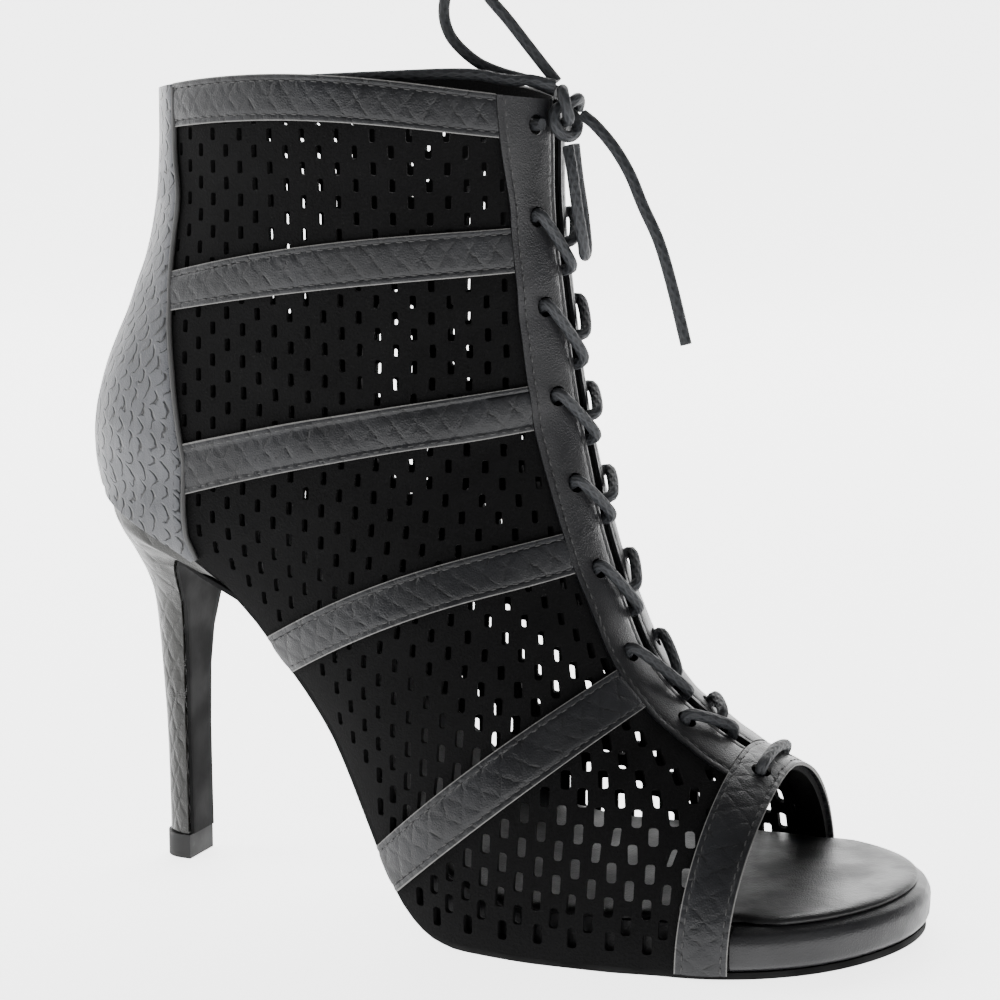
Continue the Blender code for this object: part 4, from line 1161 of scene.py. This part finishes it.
def add_panel(bm, side, u, v, gap, edge):
    """A panel's sheet at (u, v) grids, gap off the suede. edge is each point's edge distance."""
    points = SIDES[side].skin(u, v, gap + fold(edge))
    chart = np.zeros((*u.shape, 2))
    middle = points.shape[1] // 2
    chart[..., 0] = run_lengths(points[:, middle])[:, None]
    chart[..., 1] = row_lengths(points)
    chart[..., 1] -= chart[:, middle : middle + 1, 1]
    rims = np.stack([edge, edge], -1)
    return add_grid(bm, points, chart, rims, (0.2, side, 0.3))


def band_places(side, low, high, meets_counter, steps=72):
    """(u, v) grids of a band, from the eyestay down its length, and each point's edge distance."""
    middle_u = (SECTION_U[low] + SECTION_U[high]) / 2
    top = SIDES[side]
    start = float(top.v_from_throat(middle_u, float(eyestay_width(middle_u)) + GAP))
    end = float(top.v_at_counter(middle_u, GAP)) if meets_counter else 1.0
    width = np.linalg.norm(
        top.skin(SECTION_U[low], (start + end) / 2) - top.skin(SECTION_U[high], (start + end) / 2)
    )
    shares = edge_shares(width)
    u_line = SECTION_U[low] + (SECTION_U[high] - SECTION_U[low]) * shares
    first = top.v_from_throat(u_line, eyestay_width(u_line) + GAP)
    last = top.v_at_counter(u_line, GAP) if meets_counter else np.ones(len(u_line))
    t = np.linspace(0.0, 1.0, steps + 1)[:, None]
    v = first[None, :] + (last - first)[None, :] * t
    u = np.broadcast_to(u_line[None, :], v.shape)
    across = np.linalg.norm(
        top.skin(np.full(steps + 1, SECTION_U[low]), v[:, 0])
        - top.skin(np.full(steps + 1, SECTION_U[high]), v[:, -1]),
        axis=-1,
    )
    edge = across[:, None] * np.minimum(shares, 1 - shares)[None, :]
    return u, v, edge


def all_bands():
    """Name, rows of SECTIONS and whether it meets the counter, of each band."""
    found = [(f"band_{n}", *rows) for n, rows in enumerate(BANDS, start=1)]
    found.append(("collar_band", *COLLAR_BAND))
    return [
        (name, low, high, float(SIDES[LATERAL].v_at_counter(SECTION_U[low])) < 1)
        for name, low, high in found
    ]


def where(side):
    return "lateral" if side == LATERAL else "medial"


def eyestay_places(side, steps=190):
    top = SIDES[side]
    shares = edge_shares(EYESTAY_WIDTH, 5)
    starts = []
    for share in shares:
        u = float(top.strap_u(0.0, STRAP_WIDTH + GAP))
        for _ in range(4):
            v = float(top.v_from_throat(u, EYESTAY_WIDTH * share)) if share else 0.0
            u = float(top.strap_u(v, STRAP_WIDTH + GAP))
        starts.append(u)
    t = np.linspace(0.0, 1.0, steps + 1)[:, None]
    starts = np.array(starts)[None, :]
    u = starts + (1 - starts) * t
    full = top.v_from_throat(u, eyestay_width(u))
    v = full * shares[None, :]
    edge = eyestay_width(u) * np.minimum(shares, 1 - shares)[None, :]
    return u, v, edge


def strap_places(side, steps=110):
    top = SIDES[side]
    shares = edge_shares(STRAP_WIDTH, 5)
    v_line = np.linspace(0.0, 1.0, steps + 1)
    back = top.strap_u(v_line, STRAP_WIDTH)
    u = back[:, None] * shares[None, :]
    v = np.broadcast_to(v_line[:, None], u.shape)
    edge = np.broadcast_to(STRAP_WIDTH * np.minimum(shares, 1 - shares)[None, :], u.shape)
    return u, v, edge


def eyelet_cutter(segments=24):
    bm = new_mesh()
    for (side, _), (u, v) in eyelets().items():
        matrix = frame_at(SIDES[side].skin(u, v), (0.0, 0.0, 1.0), SIDES[side].normal(u, v))
        size = {"radius1": EYELET_HOLE / 2 * MM, "radius2": EYELET_HOLE / 2 * MM, "depth": 8 * MM}
        bmesh.ops.create_cone(bm, cap_ends=True, segments=segments, matrix=matrix, **size)
    return bm


def perforations(side):
    """Matrices of the holes of one side: level rows, every other column half a pitch lower."""
    top = SIDES[side]
    found = []
    heights = top.points[..., 2]
    first, last = int(heights.min() / HOLE_RISE), int(heights.max() / HOLE_RISE)
    for number in range(first, last + 1):
        z = number * HOLE_RISE
        inside = [j for j in range(COLUMNS) if heights[0, j] < z < heights[-1, j]]
        if len(inside) < 3:
            continue
        u = np.array([np.interp(z, heights[:, j], top.u) for j in inside])
        v = top.v[inside]
        line = top.skin(u, v)
        travelled = run_lengths(line)
        backwards = line[::-1, 0]
        travelled -= np.interp(HOLE_COLUMN * LENGTH, backwards, travelled[::-1])
        low, high = math.ceil(travelled[0] / HOLE_PITCH), math.floor(travelled[-1] / HOLE_PITCH)
        for k in range(low, high + 1):
            if (k + number) % 2:
                continue
            hole_u = float(np.interp(k * HOLE_PITCH, travelled, u))
            hole_v = float(np.interp(k * HOLE_PITCH, travelled, v))
            if hole_allowed(top, hole_u, hole_v):
                point, normal = top.skin(hole_u, hole_v), top.normal(hole_u, hole_v)
                size = HOLE_FULL - HOLE_SHRINK * float(ease((hole_u - SECTION_U[4]) / 0.08))
                place = frame_at(point, (0.0, 0.0, 1.0), normal)
                found.append(place @ Matrix.Diagonal((size, size, 1.0, 1.0)))
    return found


def hole_allowed(top, u, v):
    """Whether a hole clears the edges of the suede and the panels that close it."""
    stay = float(top.v_from_throat(u, float(eyestay_width(u)) + HOLE_TO_PANEL))
    if v < stay or v > float(top.v_at_counter(u, HOLE_TO_PANEL)):
        return False
    point = top.skin(u, v)
    if np.linalg.norm(point - top.skin(u, 1.0)) < HOLE_TO_SOLE or u > HOLE_TOP:
        return False
    if np.linalg.norm(point - top.skin(0.0, v)) < HOLE_TO_TOES:
        return False
    for _, low, high, _ in all_bands():
        if SECTION_U[low] <= u <= SECTION_U[high]:
            gaps = (np.linalg.norm(point - top.skin(SECTION_U[row], v)) for row in (low, high))
            return min(gaps) < HOLE_UNDER_BAND
    return True


def between(place, travelled, values):
    """The values' row at a distance along a path."""
    return np.array([np.interp(place, travelled, values[:, k]) for k in range(3)])


def stitches(path_points, path_normals):
    """Matrices of evenly spaced stitches along a path."""
    travelled = run_lengths(path_points)
    count = int(travelled[-1] / STITCH_PITCH)
    places = (np.arange(count) + 0.5) * travelled[-1] / max(count, 1)
    found = []
    for place in places:
        back, middle, ahead = (between(place + d, travelled, path_points) for d in (-0.6, 0.0, 0.6))
        found.append(frame_at(middle, ahead - back, between(place, travelled, path_normals)))
    return found


def seam_on(side, u, v, proud):
    top = SIDES[side]
    return stitches(top.skin(u, v, proud), top.normal(u, v))


def strand_piece(name, points, nodes):
    bm = new_mesh()
    add_tube(bm, points, LACE / 2)
    return add_piece(name, bm, ["lace"], nodes, 60.0)


def number_property(name, description, default, **kind):
    kind = kind or {"unit": "LENGTH"}
    return bpy.props.FloatProperty(name=name, description=description, default=default, **kind)


def colour_property(name, description, default):
    return bpy.props.FloatVectorProperty(
        name=name, description=description, default=default, subtype="COLOR", size=3, min=0, max=1
    )


class BootieSizes(bpy.types.PropertyGroup):
    hole_width: number_property("Hole width", "Width of a punched hole", 0.0021)
    hole_height: number_property("Hole height", "Height of a punched hole", 0.0042)
    piping: number_property("Piping", "Thickness of the counter's piping", 0.0013)
    backdrop: number_property("Backdrop", "Depth of the floor behind the shoe", 2.4)
    key_light: number_property("Key light", "Power of the main soft light", 18.0, unit="POWER")
    sky: number_property("Room light", "Brightness of the room around", 0.30, subtype="FACTOR")


class BootieColours(bpy.types.PropertyGroup):
    suede: colour_property("Suede", "Colour of the suede", (0.0016, 0.0016, 0.0017))
    counter: colour_property("Counter", "Colour of the heel panel", (0.058, 0.060, 0.066))
    bands: colour_property("Bands", "Colour of the bands and the strap", (0.0066, 0.0069, 0.0082))
    smooth: colour_property("Smooth", "Colour of the smooth leather", (0.0060, 0.0060, 0.0070))
    insole: colour_property("Insole", "Colour of the insole", (0.0034, 0.0034, 0.0037))
    heel: colour_property("Heel", "Colour of the heel's leather", (0.0105, 0.0105, 0.0092))
    lace: colour_property("Lace", "Colour of the lace", (0.012, 0.013, 0.015))


def looking(at, direction):
    """Matrix of a camera or a light at a point, facing a direction."""
    turn = Vector(direction).to_track_quat("-Z", "Y")
    return Matrix.Translation(at) @ turn.to_matrix().to_4x4()


def floor_points(backdrop):
    """The floor and the backdrop that it bends up into, turned to face the camera."""
    depth = backdrop * 0.6
    turns = np.linspace(0, math.pi / 2, 16)[1:]
    flat = [(y, 0.0) for y in np.linspace(-FLOOR_NEAR, depth, 12)]
    bend = [
        (depth + FLOOR_BEND * math.sin(a), FLOOR_BEND - FLOOR_BEND * math.cos(a)) for a in turns
    ]
    back = [(bend[-1][0], z) for z in np.linspace(FLOOR_BEND, FLOOR_TOP, 8)[1:]]
    y, z = np.array(flat + bend + back).T[..., None]
    across = np.linspace(-FLOOR_HALF, FLOOR_HALF, 15)
    turn = math.radians(FLOOR_TURN)
    turned_x = across * math.cos(turn) - y * math.sin(turn)
    turned_y = across * math.sin(turn) + y * math.cos(turn)
    points = np.stack(np.broadcast_arrays(turned_x, turned_y, z), -1)
    return points / MM + (DATUM_X, 0.0, 0.0)


class BOOTIE_OT_stage(bpy.types.Operator):
    """Add the camera, the pale floor and the soft lights."""

    bl_idname = "bootie.stage"
    bl_label = "Stage"

    def execute(self, context):
        sizes = context.scene.bootie_sizes
        camera = add_object("camera", bpy.data.cameras.new("camera"))
        camera.data.lens = LENS
        camera.data.sensor_width = SENSOR
        camera.data.clip_end = 50.0
        camera.matrix_world = looking(CAMERA_AT, CAMERA_LOOK)
        context.scene.camera = camera

        bm = new_mesh()
        add_grid(bm, floor_points(sizes.backdrop), facing=(0, -0.3, 1))
        mesh = to_mesh("floor", bm)
        mesh.shade_smooth()
        mesh.materials.append(material("floor"))
        add_object("floor", mesh)

        world = bpy.data.worlds.new("soft room")
        world.use_nodes = True
        background = world.node_tree.nodes["Background"]
        background.inputs["Color"].default_value = (1.0, 1.0, 1.0, 1.0)
        background.inputs["Strength"].default_value = sizes.sky
        context.scene.world = world
        for name, at, size, share in LIGHTS:
            data = bpy.data.lights.new(name, "AREA")
            data.size = size
            data.energy = sizes.key_light * share
            light = add_object(name, data)
            light.matrix_world = looking(at, Vector(LIGHTS_AIM) - Vector(at))
        return {"FINISHED"}


class BOOTIE_OT_laces(bpy.types.Operator):
    """Add the lace through the eyelets, its knot, loops and ends."""

    bl_idname = "bootie.laces"
    bl_label = "Laces"

    def execute(self, context):
        strand_piece("lace_run", spaced(lacing_route(), 0.9), ["lace_crossings"])
        knot = knot_route(150)
        strand_piece("bow_knot", knot, ["lace_knot"])
        cords = (
            ("loop_a", LOOP_A, "lace_loop_a", "object"),
            ("loop_b", LOOP_B, "lace_loop_b", "object"),
            ("end_a", END_A, "lace_end_a", "bare"),
            ("end_b", END_B, "lace_end_b", "bare"),
        )
        for name, table, node, far_end in cords:
            route = [knot_middle() + SHAFT_HEIGHT * np.array(row) for row in table]
            points = spaced(route, 1.2)
            piece = strand_piece(f"bow_{name}", points, [node])
        return {"FINISHED"}


class BOOTIE_OT_upper(bpy.types.Operator):
    """Add the suede upper with its punched holes."""

    bl_idname = "bootie.upper"
    bl_label = "Perforated upper"

    def execute(self, context):
        bm = new_mesh()
        rows, columns = 150, 96
        v = np.linspace(0.0, 1.0, columns + 1)
        toes = {}
        for side, top in SIDES.items():
            front = top.strap_u(v, UPPER_TUCK)
            u = front[None, :] + (1 - front[None, :]) * np.linspace(0.0, 1.0, rows + 1)[:, None]
            grid_v = np.broadcast_to(v[None, :], u.shape)
            add_grid(bm, top.skin(u, grid_v), facing=(0.2, side, 0.3))
            toes[side] = top.skin(u[:2, 0], v[:1])
        over = np.stack([toes[LATERAL], toes[MEDIAL]], 1)
        add_grid(bm, over, facing=(0.3, 0, 1))
        bmesh.ops.remove_doubles(bm, verts=bm.verts, dist=MERGE)
        piece = add_piece("suede_upper", bm, ["suede"], ["upper"], 60.0)
        wall(piece, WALL, outwards=False)
        apply_all(piece, 60.0)
        punches = eyelet_cutter(16)
        sizes = context.scene.bootie_sizes
        hole = round_bar("hole", sizes.hole_height / MM, sizes.hole_width / MM, 5.0, 2)
        for side in SIDES:
            copies(punches, hole, perforations(side))
        bpy.data.meshes.remove(hole)
        cut(piece, punches, "MANIFOLD")
        return {"FINISHED"}


class BOOTIE_OT_counter(bpy.types.Operator):
    """Add the embossed heel panel and the piping of its front seam."""

    bl_idname = "bootie.counter"
    bl_label = "Counter"

    def execute(self, context):
        bm = new_mesh()
        piping = new_mesh()
        width = context.scene.bootie_sizes.piping / MM
        for side, top in SIDES.items():
            u_line = np.linspace(top.counter_start() + 0.004, 1.0, 150)
            edge_v = np.minimum(top.v_at_counter(u_line), COUNTER_END)
            near = np.array([0.0, 0.006, 0.014, 0.024, 0.036, 0.05, 0.07, 0.095])
            shares = np.concatenate([near, np.linspace(0.12, 1.0, 44)])
            v = edge_v[:, None] + (1 - edge_v[:, None]) * shares[None, :]
            u = np.broadcast_to(u_line[:, None], v.shape)
            flat = top.skin(u, v)
            travelled = row_lengths(flat)
            level = row_lengths(flat[..., :2])
            round_seat = run_lengths(flat[::-1, -1, :2])[::-1]
            chart = np.stack([flat[..., 2], flat[..., 2]], -1)
            chart[..., 1] = 400.0 + side * (level[:, -1:] - level + round_seat[:, None])
            points = top.skin(u, v, COUNTER_GAP + fold(travelled + 0.9))
            add_grid(bm, points, chart, None, (0.2, side, 0.3))
            path = top.skin(u_line, edge_v - 0.004, GAP + LEATHER * 0.7)
            add_tube(piping, spaced(path[::4], 0.8), width / 2, 10)
        bmesh.ops.remove_doubles(bm, verts=bm.verts, dist=MERGE)
        panel = add_piece("counter_panel", bm, ["counter", "edge"], ["counter"])
        wall(panel, LEATHER, outwards=True, rim=0, even=False)
        add_piece("counter_piping", piping, ["thread"], (), 60.0)
        return {"FINISHED"}


class BOOTIE_OT_bands(bpy.types.Operator):
    """Add the side bands and the collar bands."""

    bl_idname = "bootie.bands"
    bl_label = "Bands"

    def execute(self, context):
        for name, low, high, meets_counter in all_bands():
            for side in SIDES:
                u, v, edge = band_places(side, low, high, meets_counter)
                bm = new_mesh()
                add_panel(bm, side, u, v, GAP, edge)
                node = f"{name}_{where(side)}"
                piece = add_piece(
                    f"{node}_leather", bm, ["bands", "edge"], [node]
                )
                wall(piece, LEATHER, outwards=True, rim=1)
                round_edges(piece, 0.12, 1)
        return {"FINISHED"}


def punch_eyelets(piece, edge, segments):
    """Gives the sheet its thickness, cuts the eyelets and rounds the edges."""
    wall(piece, LEATHER, outwards=True, rim=1)
    apply_all(piece)
    cut(piece, eyelet_cutter(), "EXACT")
    round_edges(piece, edge, segments)


class BOOTIE_OT_facings(bpy.types.Operator):
    """Add the eyestays and the toe strap, with their punched eyelets."""

    bl_idname = "bootie.facings"
    bl_label = "Eyestays and toe strap"

    def execute(self, context):
        for side in SIDES:
            u, v, edge = eyestay_places(side)
            bm = new_mesh()
            add_panel(bm, side, u, v, GAP, edge)
            node = f"eyestay_{where(side)}"
            piece = add_piece(f"{node}_leather", bm, ["smooth", "smooth"], [node])
            punch_eyelets(piece, 0.14, 2)
        bm = new_mesh()
        ends = {}
        for side in SIDES:
            u, v, edge = strap_places(side)
            add_panel(bm, side, u, v, GAP, edge)
            ends[side] = SIDES[side].skin(u[0], v[0], GAP + fold(edge[0])), edge[0]
        over = np.stack([ends[LATERAL][0], ends[MEDIAL][0]], 1)
        rims = np.stack([ends[LATERAL][1]] * 2, 1)
        add_grid(bm, over, None, np.stack([rims, rims], -1), (0.3, 0, 1))
        bmesh.ops.remove_doubles(bm, verts=bm.verts, dist=MERGE)
        piece = add_piece(
            "toe_strap_leather", bm, ["bands", "edge"], ["toe_strap"]
        )
        punch_eyelets(piece, 0.12, 1)
        return {"FINISHED"}


class BOOTIE_OT_stitching(bpy.types.Operator):
    """Add the rows of stitches of every panel."""

    bl_idname = "bootie.stitching"
    bl_label = "Stitching"

    def execute(self, context):
        proud = GAP + LEATHER - 0.12
        found = []
        for side, top in SIDES.items():
            panels = [band_places(side, *rows) for _, *rows in all_bands()]
            panels += [eyestay_places(side), strap_places(side)]
            for u, v, _ in panels:
                for row in (STITCH_ROW, -1 - STITCH_ROW):
                    found += seam_on(side, u[:, row], v[:, row], proud)
            u = np.linspace(top.counter_start() + 0.01, 1.0, 150)
            found += seam_on(side, u, top.v_at_counter(u, -2.2), COUNTER_GAP + LEATHER + 0.02)
        bm = new_mesh()
        shape = stitch_shape()
        copies(bm, shape, found)
        bpy.data.meshes.remove(shape)
        add_piece("stitches", bm, ["thread"], (), 60.0)
        return {"FINISHED"}


def platform_rings():
    """Levels of the platform's cover: tucked in behind the strap, rounded ahead of it."""
    heights = np.concatenate([np.linspace(0, 0.6, 8), np.linspace(0.66, 1.0, 12)])
    insets = smooth(heights, *np.array(PLATFORM_ROUNDING).T)
    levels = [*zip(heights, insets), (1.0, 4.2), (1.0, 6.0)]
    behind = np.linspace(0.375 * LENGTH, STRAP_FOOT_X, 50)
    front = STRAP_FOOT_X + 0.5
    tip = LENGTH - PLATFORM_INSET
    ahead = front + (tip - front) * np.sin(np.linspace(0, math.pi / 2, 60))
    rings = []
    for height, inset in levels:
        ring = []
        for x in [*behind, *ahead]:
            moved_in = SOLE_EDGE + PLATFORM_LEAN * height + 0.4
            if x > STRAP_FOOT_X:
                moved_in = PLATFORM_INSET + inset
                x = front + (x - front) * (LENGTH - moved_in - front) / (tip - front)
            nearness = max(0.0, 1 - abs(x - STRAP_FOOT_X) / 28)
            pair = []
            for side in SIDES:
                across = x + (strap_foot_x(side) - STRAP_FOOT_X) * nearness
                z = seam_z(across) + GAP + pad_z(across) * height
                pair.append((across, edge_y(side, across, moved_in), z))
            ring.append(pair)
        rings.append(ring)
    return rings


def insole_rings():
    """Levels of the insole's cover, with its rounded edge."""
    rings = []
    for height, inset in INSOLE_ROUNDING:
        start = SEAT_OVERHANG + INSOLE_SEAT_INSET + inset
        end = LENGTH - INSOLE_TOE_INSET - inset
        ring = []
        for x in start + (end - start) * (1 - np.cos(np.linspace(0, math.pi, 121))) / 2:
            z = seam_z(x) + 1.4 * GAP + pad_z(x) + INSOLE_THICK * height
            wide = inset + INSOLE_SEAT_INSET
            wide += (INSOLE_INSET - INSOLE_SEAT_INSET) * ease((x / LENGTH - 0.36) / 0.06)
            wide += 1.6 * ease((x - 0.70 * LENGTH) / 12) * ease((0.86 * LENGTH - x) / 4)
            wide -= (INSOLE_INSET - INSOLE_TOE_INSET) * ease((x / LENGTH - 0.855) / 0.03)
            ring.append([(x, edge_y(side, x, float(wide)), z) for side in SIDES])
        rings.append(ring)
    return rings


def outsole_points():
    """Upper face of the outsole, from the toe to the foot of its flap on the heel."""
    tip = LENGTH - OUTSOLE_INSET
    start = 0.228 * LENGTH
    path = []
    for x in start + (tip - start) * np.sin(np.linspace(0, math.pi / 2, 90))[::-1]:
        ends = [edge_y(side, x, OUTSOLE_INSET) for side in SIDES]
        path.append((x, float(seam_z(x)), *ends))
    rows = heel_rows()
    line = [(LENGTH * row["front_x"], OUTSOLE + HEEL_HEIGHT * row["front_z"]) for row in rows]
    for i in range(1, len(rows)):
        after = line[min(i + 1, len(rows) - 1)]
        run_x, run_z = after[0] - line[i - 1][0], after[1] - line[i - 1][1]
        step = (GAP + 0.1) / math.hypot(run_x, run_z)
        half = SEAT_WIDTH * rows[i]["half"] - 0.5
        path.append((line[i][0] - run_z * step, line[i][1] + run_x * step, -half, half))
    shares = (np.linspace(-1, 1, 9) + 1) / 2
    return np.array([[(x, low + (high - low) * t, z) for t in shares] for x, z, low, high in path])


class BOOTIE_OT_sole(bpy.types.Operator):
    """Add the platform, the insole and the outsole."""

    bl_idname = "bootie.sole"
    bl_label = "Sole"

    def execute(self, context):
        closed_rings(
            "platform_cover", platform_rings(), ["smooth"], ["platform"], 50.0
        )
        closed_rings(
            "insole_cover", insole_rings(), ["insole"], ["insole"], 50.0
        )
        bm = new_mesh()
        points = outsole_points()
        add_grid(bm, points, points[..., :2].copy(), None, (0, 0, 1))
        bmesh.ops.remove_doubles(bm, verts=bm.verts, dist=MERGE)
        piece = add_piece("outsole_skin", bm, ["sole"], ["outsole"])
        full = piece.vertex_groups.new(name="Full thickness")
        for vert in piece.data.vertices:
            x = vert.co.x / MM + DATUM_X
            full.add([vert.index], float(ease((x / LENGTH - 0.19) / 0.1)), "REPLACE")
        solid = wall(piece, OUTSOLE, outwards=False)
        solid.vertex_group = full.name
        solid.thickness_vertex_group = FLAP / OUTSOLE
        round_edges(piece, 0.25)
        return {"FINISHED"}


def heel_rows():
    foot = (TOP_LIFT_HEIGHT + GAP - OUTSOLE) / HEEL_HEIGHT
    last = (HEEL_FOOT_BACK, foot, HEEL_FOOT_FRONT, foot, HEEL_FOOT_HALF, 1.0)
    return [dict(zip(HEEL_COLUMNS, row)) for row in (*HEEL, last)]


def mirrored(places, z):
    return [[(x, side * y, z) for side in SIDES] for x, y in places]


def heel_rings():
    """Levels of the heel: straight sides that round into its back. The top one follows the seat."""
    rows = heel_rows()
    at = np.arange(len(rows), dtype=float)
    rings = []
    for t in np.concatenate([np.linspace(0, 6, 61), np.linspace(6, len(rows) - 1, 41)[1:]]):
        row = {
            name: float(smooth(t, at, np.array([r[name] for r in rows]))) for name in HEEL_COLUMNS
        }
        back, front = LENGTH * row["back_x"], LENGTH * row["front_x"]
        low = OUTSOLE + HEEL_HEIGHT * row["back_z"]
        high = OUTSOLE + HEEL_HEIGHT * row["front_z"]
        half = SEAT_WIDTH * row["half"]
        arc = (front - back) * row["round"]
        blend = max(0.0, 1 - t)
        ring = []
        for i in range(40):
            if i < 14:
                x, y = front - (front - back - arc) * i / 14, half
            else:
                turn = math.pi / 2 * (i - 14) / 25
                x, y = back + arc * (1 - math.sin(turn)), half * math.cos(turn)
            share = (x - back) / (front - back)
            z = low + (high - low) * share
            z = z * (1 - blend) + float(seam_z(x)) * blend
            ring += mirrored([(x, y)], z)
        rings.append(ring)
    return rings


def top_lift_rings():
    middle = LENGTH * (HEEL_FOOT_BACK + HEEL_FOOT_FRONT) / 2
    back, front = middle - TOP_LIFT_LENGTH / 2, middle + TOP_LIFT_LENGTH / 2
    arc = (front - back) * 0.7
    half = TOP_LIFT_WIDTH / 2
    places = [(front - (front - back - arc) * i / 6, half) for i in range(6)]
    for turn in np.linspace(0, math.pi / 2, 14):
        places.append((back + arc * (1 - math.sin(turn)), half * math.cos(turn)))
    return [mirrored(places, z) for z in np.linspace(0.0, TOP_LIFT_HEIGHT, 5)]


class BOOTIE_OT_heel(bpy.types.Operator):
    """Add the covered heel and its top lift."""

    bl_idname = "bootie.heel"
    bl_label = "Heel"

    def execute(self, context):
        heel = closed_rings("heel_cover", heel_rings(), ["heel"], ["heel"], 50.0)
        round_edges(heel, 0.35)
        rings = top_lift_rings()
        lift = closed_rings("top_lift_block", rings, ["lift"], ["top_lift"])
        round_edges(lift, 0.3)
        return {"FINISHED"}


OPERATORS = (
    BOOTIE_OT_stage,
    BOOTIE_OT_laces,
    BOOTIE_OT_upper,
    BOOTIE_OT_counter,
    BOOTIE_OT_bands,
    BOOTIE_OT_facings,
    BOOTIE_OT_stitching,
    BOOTIE_OT_sole,
    BOOTIE_OT_heel,
)


class BOOTIE_PT_sidebar(bpy.types.Panel):
    """The bootie's sizes, colours and pieces."""

    bl_idname = "BOOTIE_PT_sidebar"
    bl_label = "Lace-up bootie"
    bl_space_type = "VIEW_3D"
    bl_region_type = "UI"
    bl_category = "Bootie"

    def draw(self, context):
        scene = context.scene
        for group in (scene.bootie_sizes, scene.bootie_colours):
            box = self.layout.box()
            for name in group.__annotations__:
                box.prop(group, name)
        for operator in OPERATORS:
            self.layout.operator(operator.bl_idname)


CLASSES = (BootieSizes, BootieColours, *OPERATORS, BOOTIE_PT_sidebar)


def register():
    for item in CLASSES:
        bpy.utils.register_class(item)
    bpy.types.Scene.bootie_sizes = bpy.props.PointerProperty(type=BootieSizes)
    bpy.types.Scene.bootie_colours = bpy.props.PointerProperty(type=BootieColours)


def unregister():
    del bpy.types.Scene.bootie_colours
    del bpy.types.Scene.bootie_sizes
    for item in reversed(CLASSES):
        bpy.utils.unregister_class(item)


def main():
    register()
    for operator in OPERATORS:
        group, name = operator.bl_idname.split(".")
        getattr(getattr(bpy.ops, group), name)()


if __name__ == "__main__":
    main()
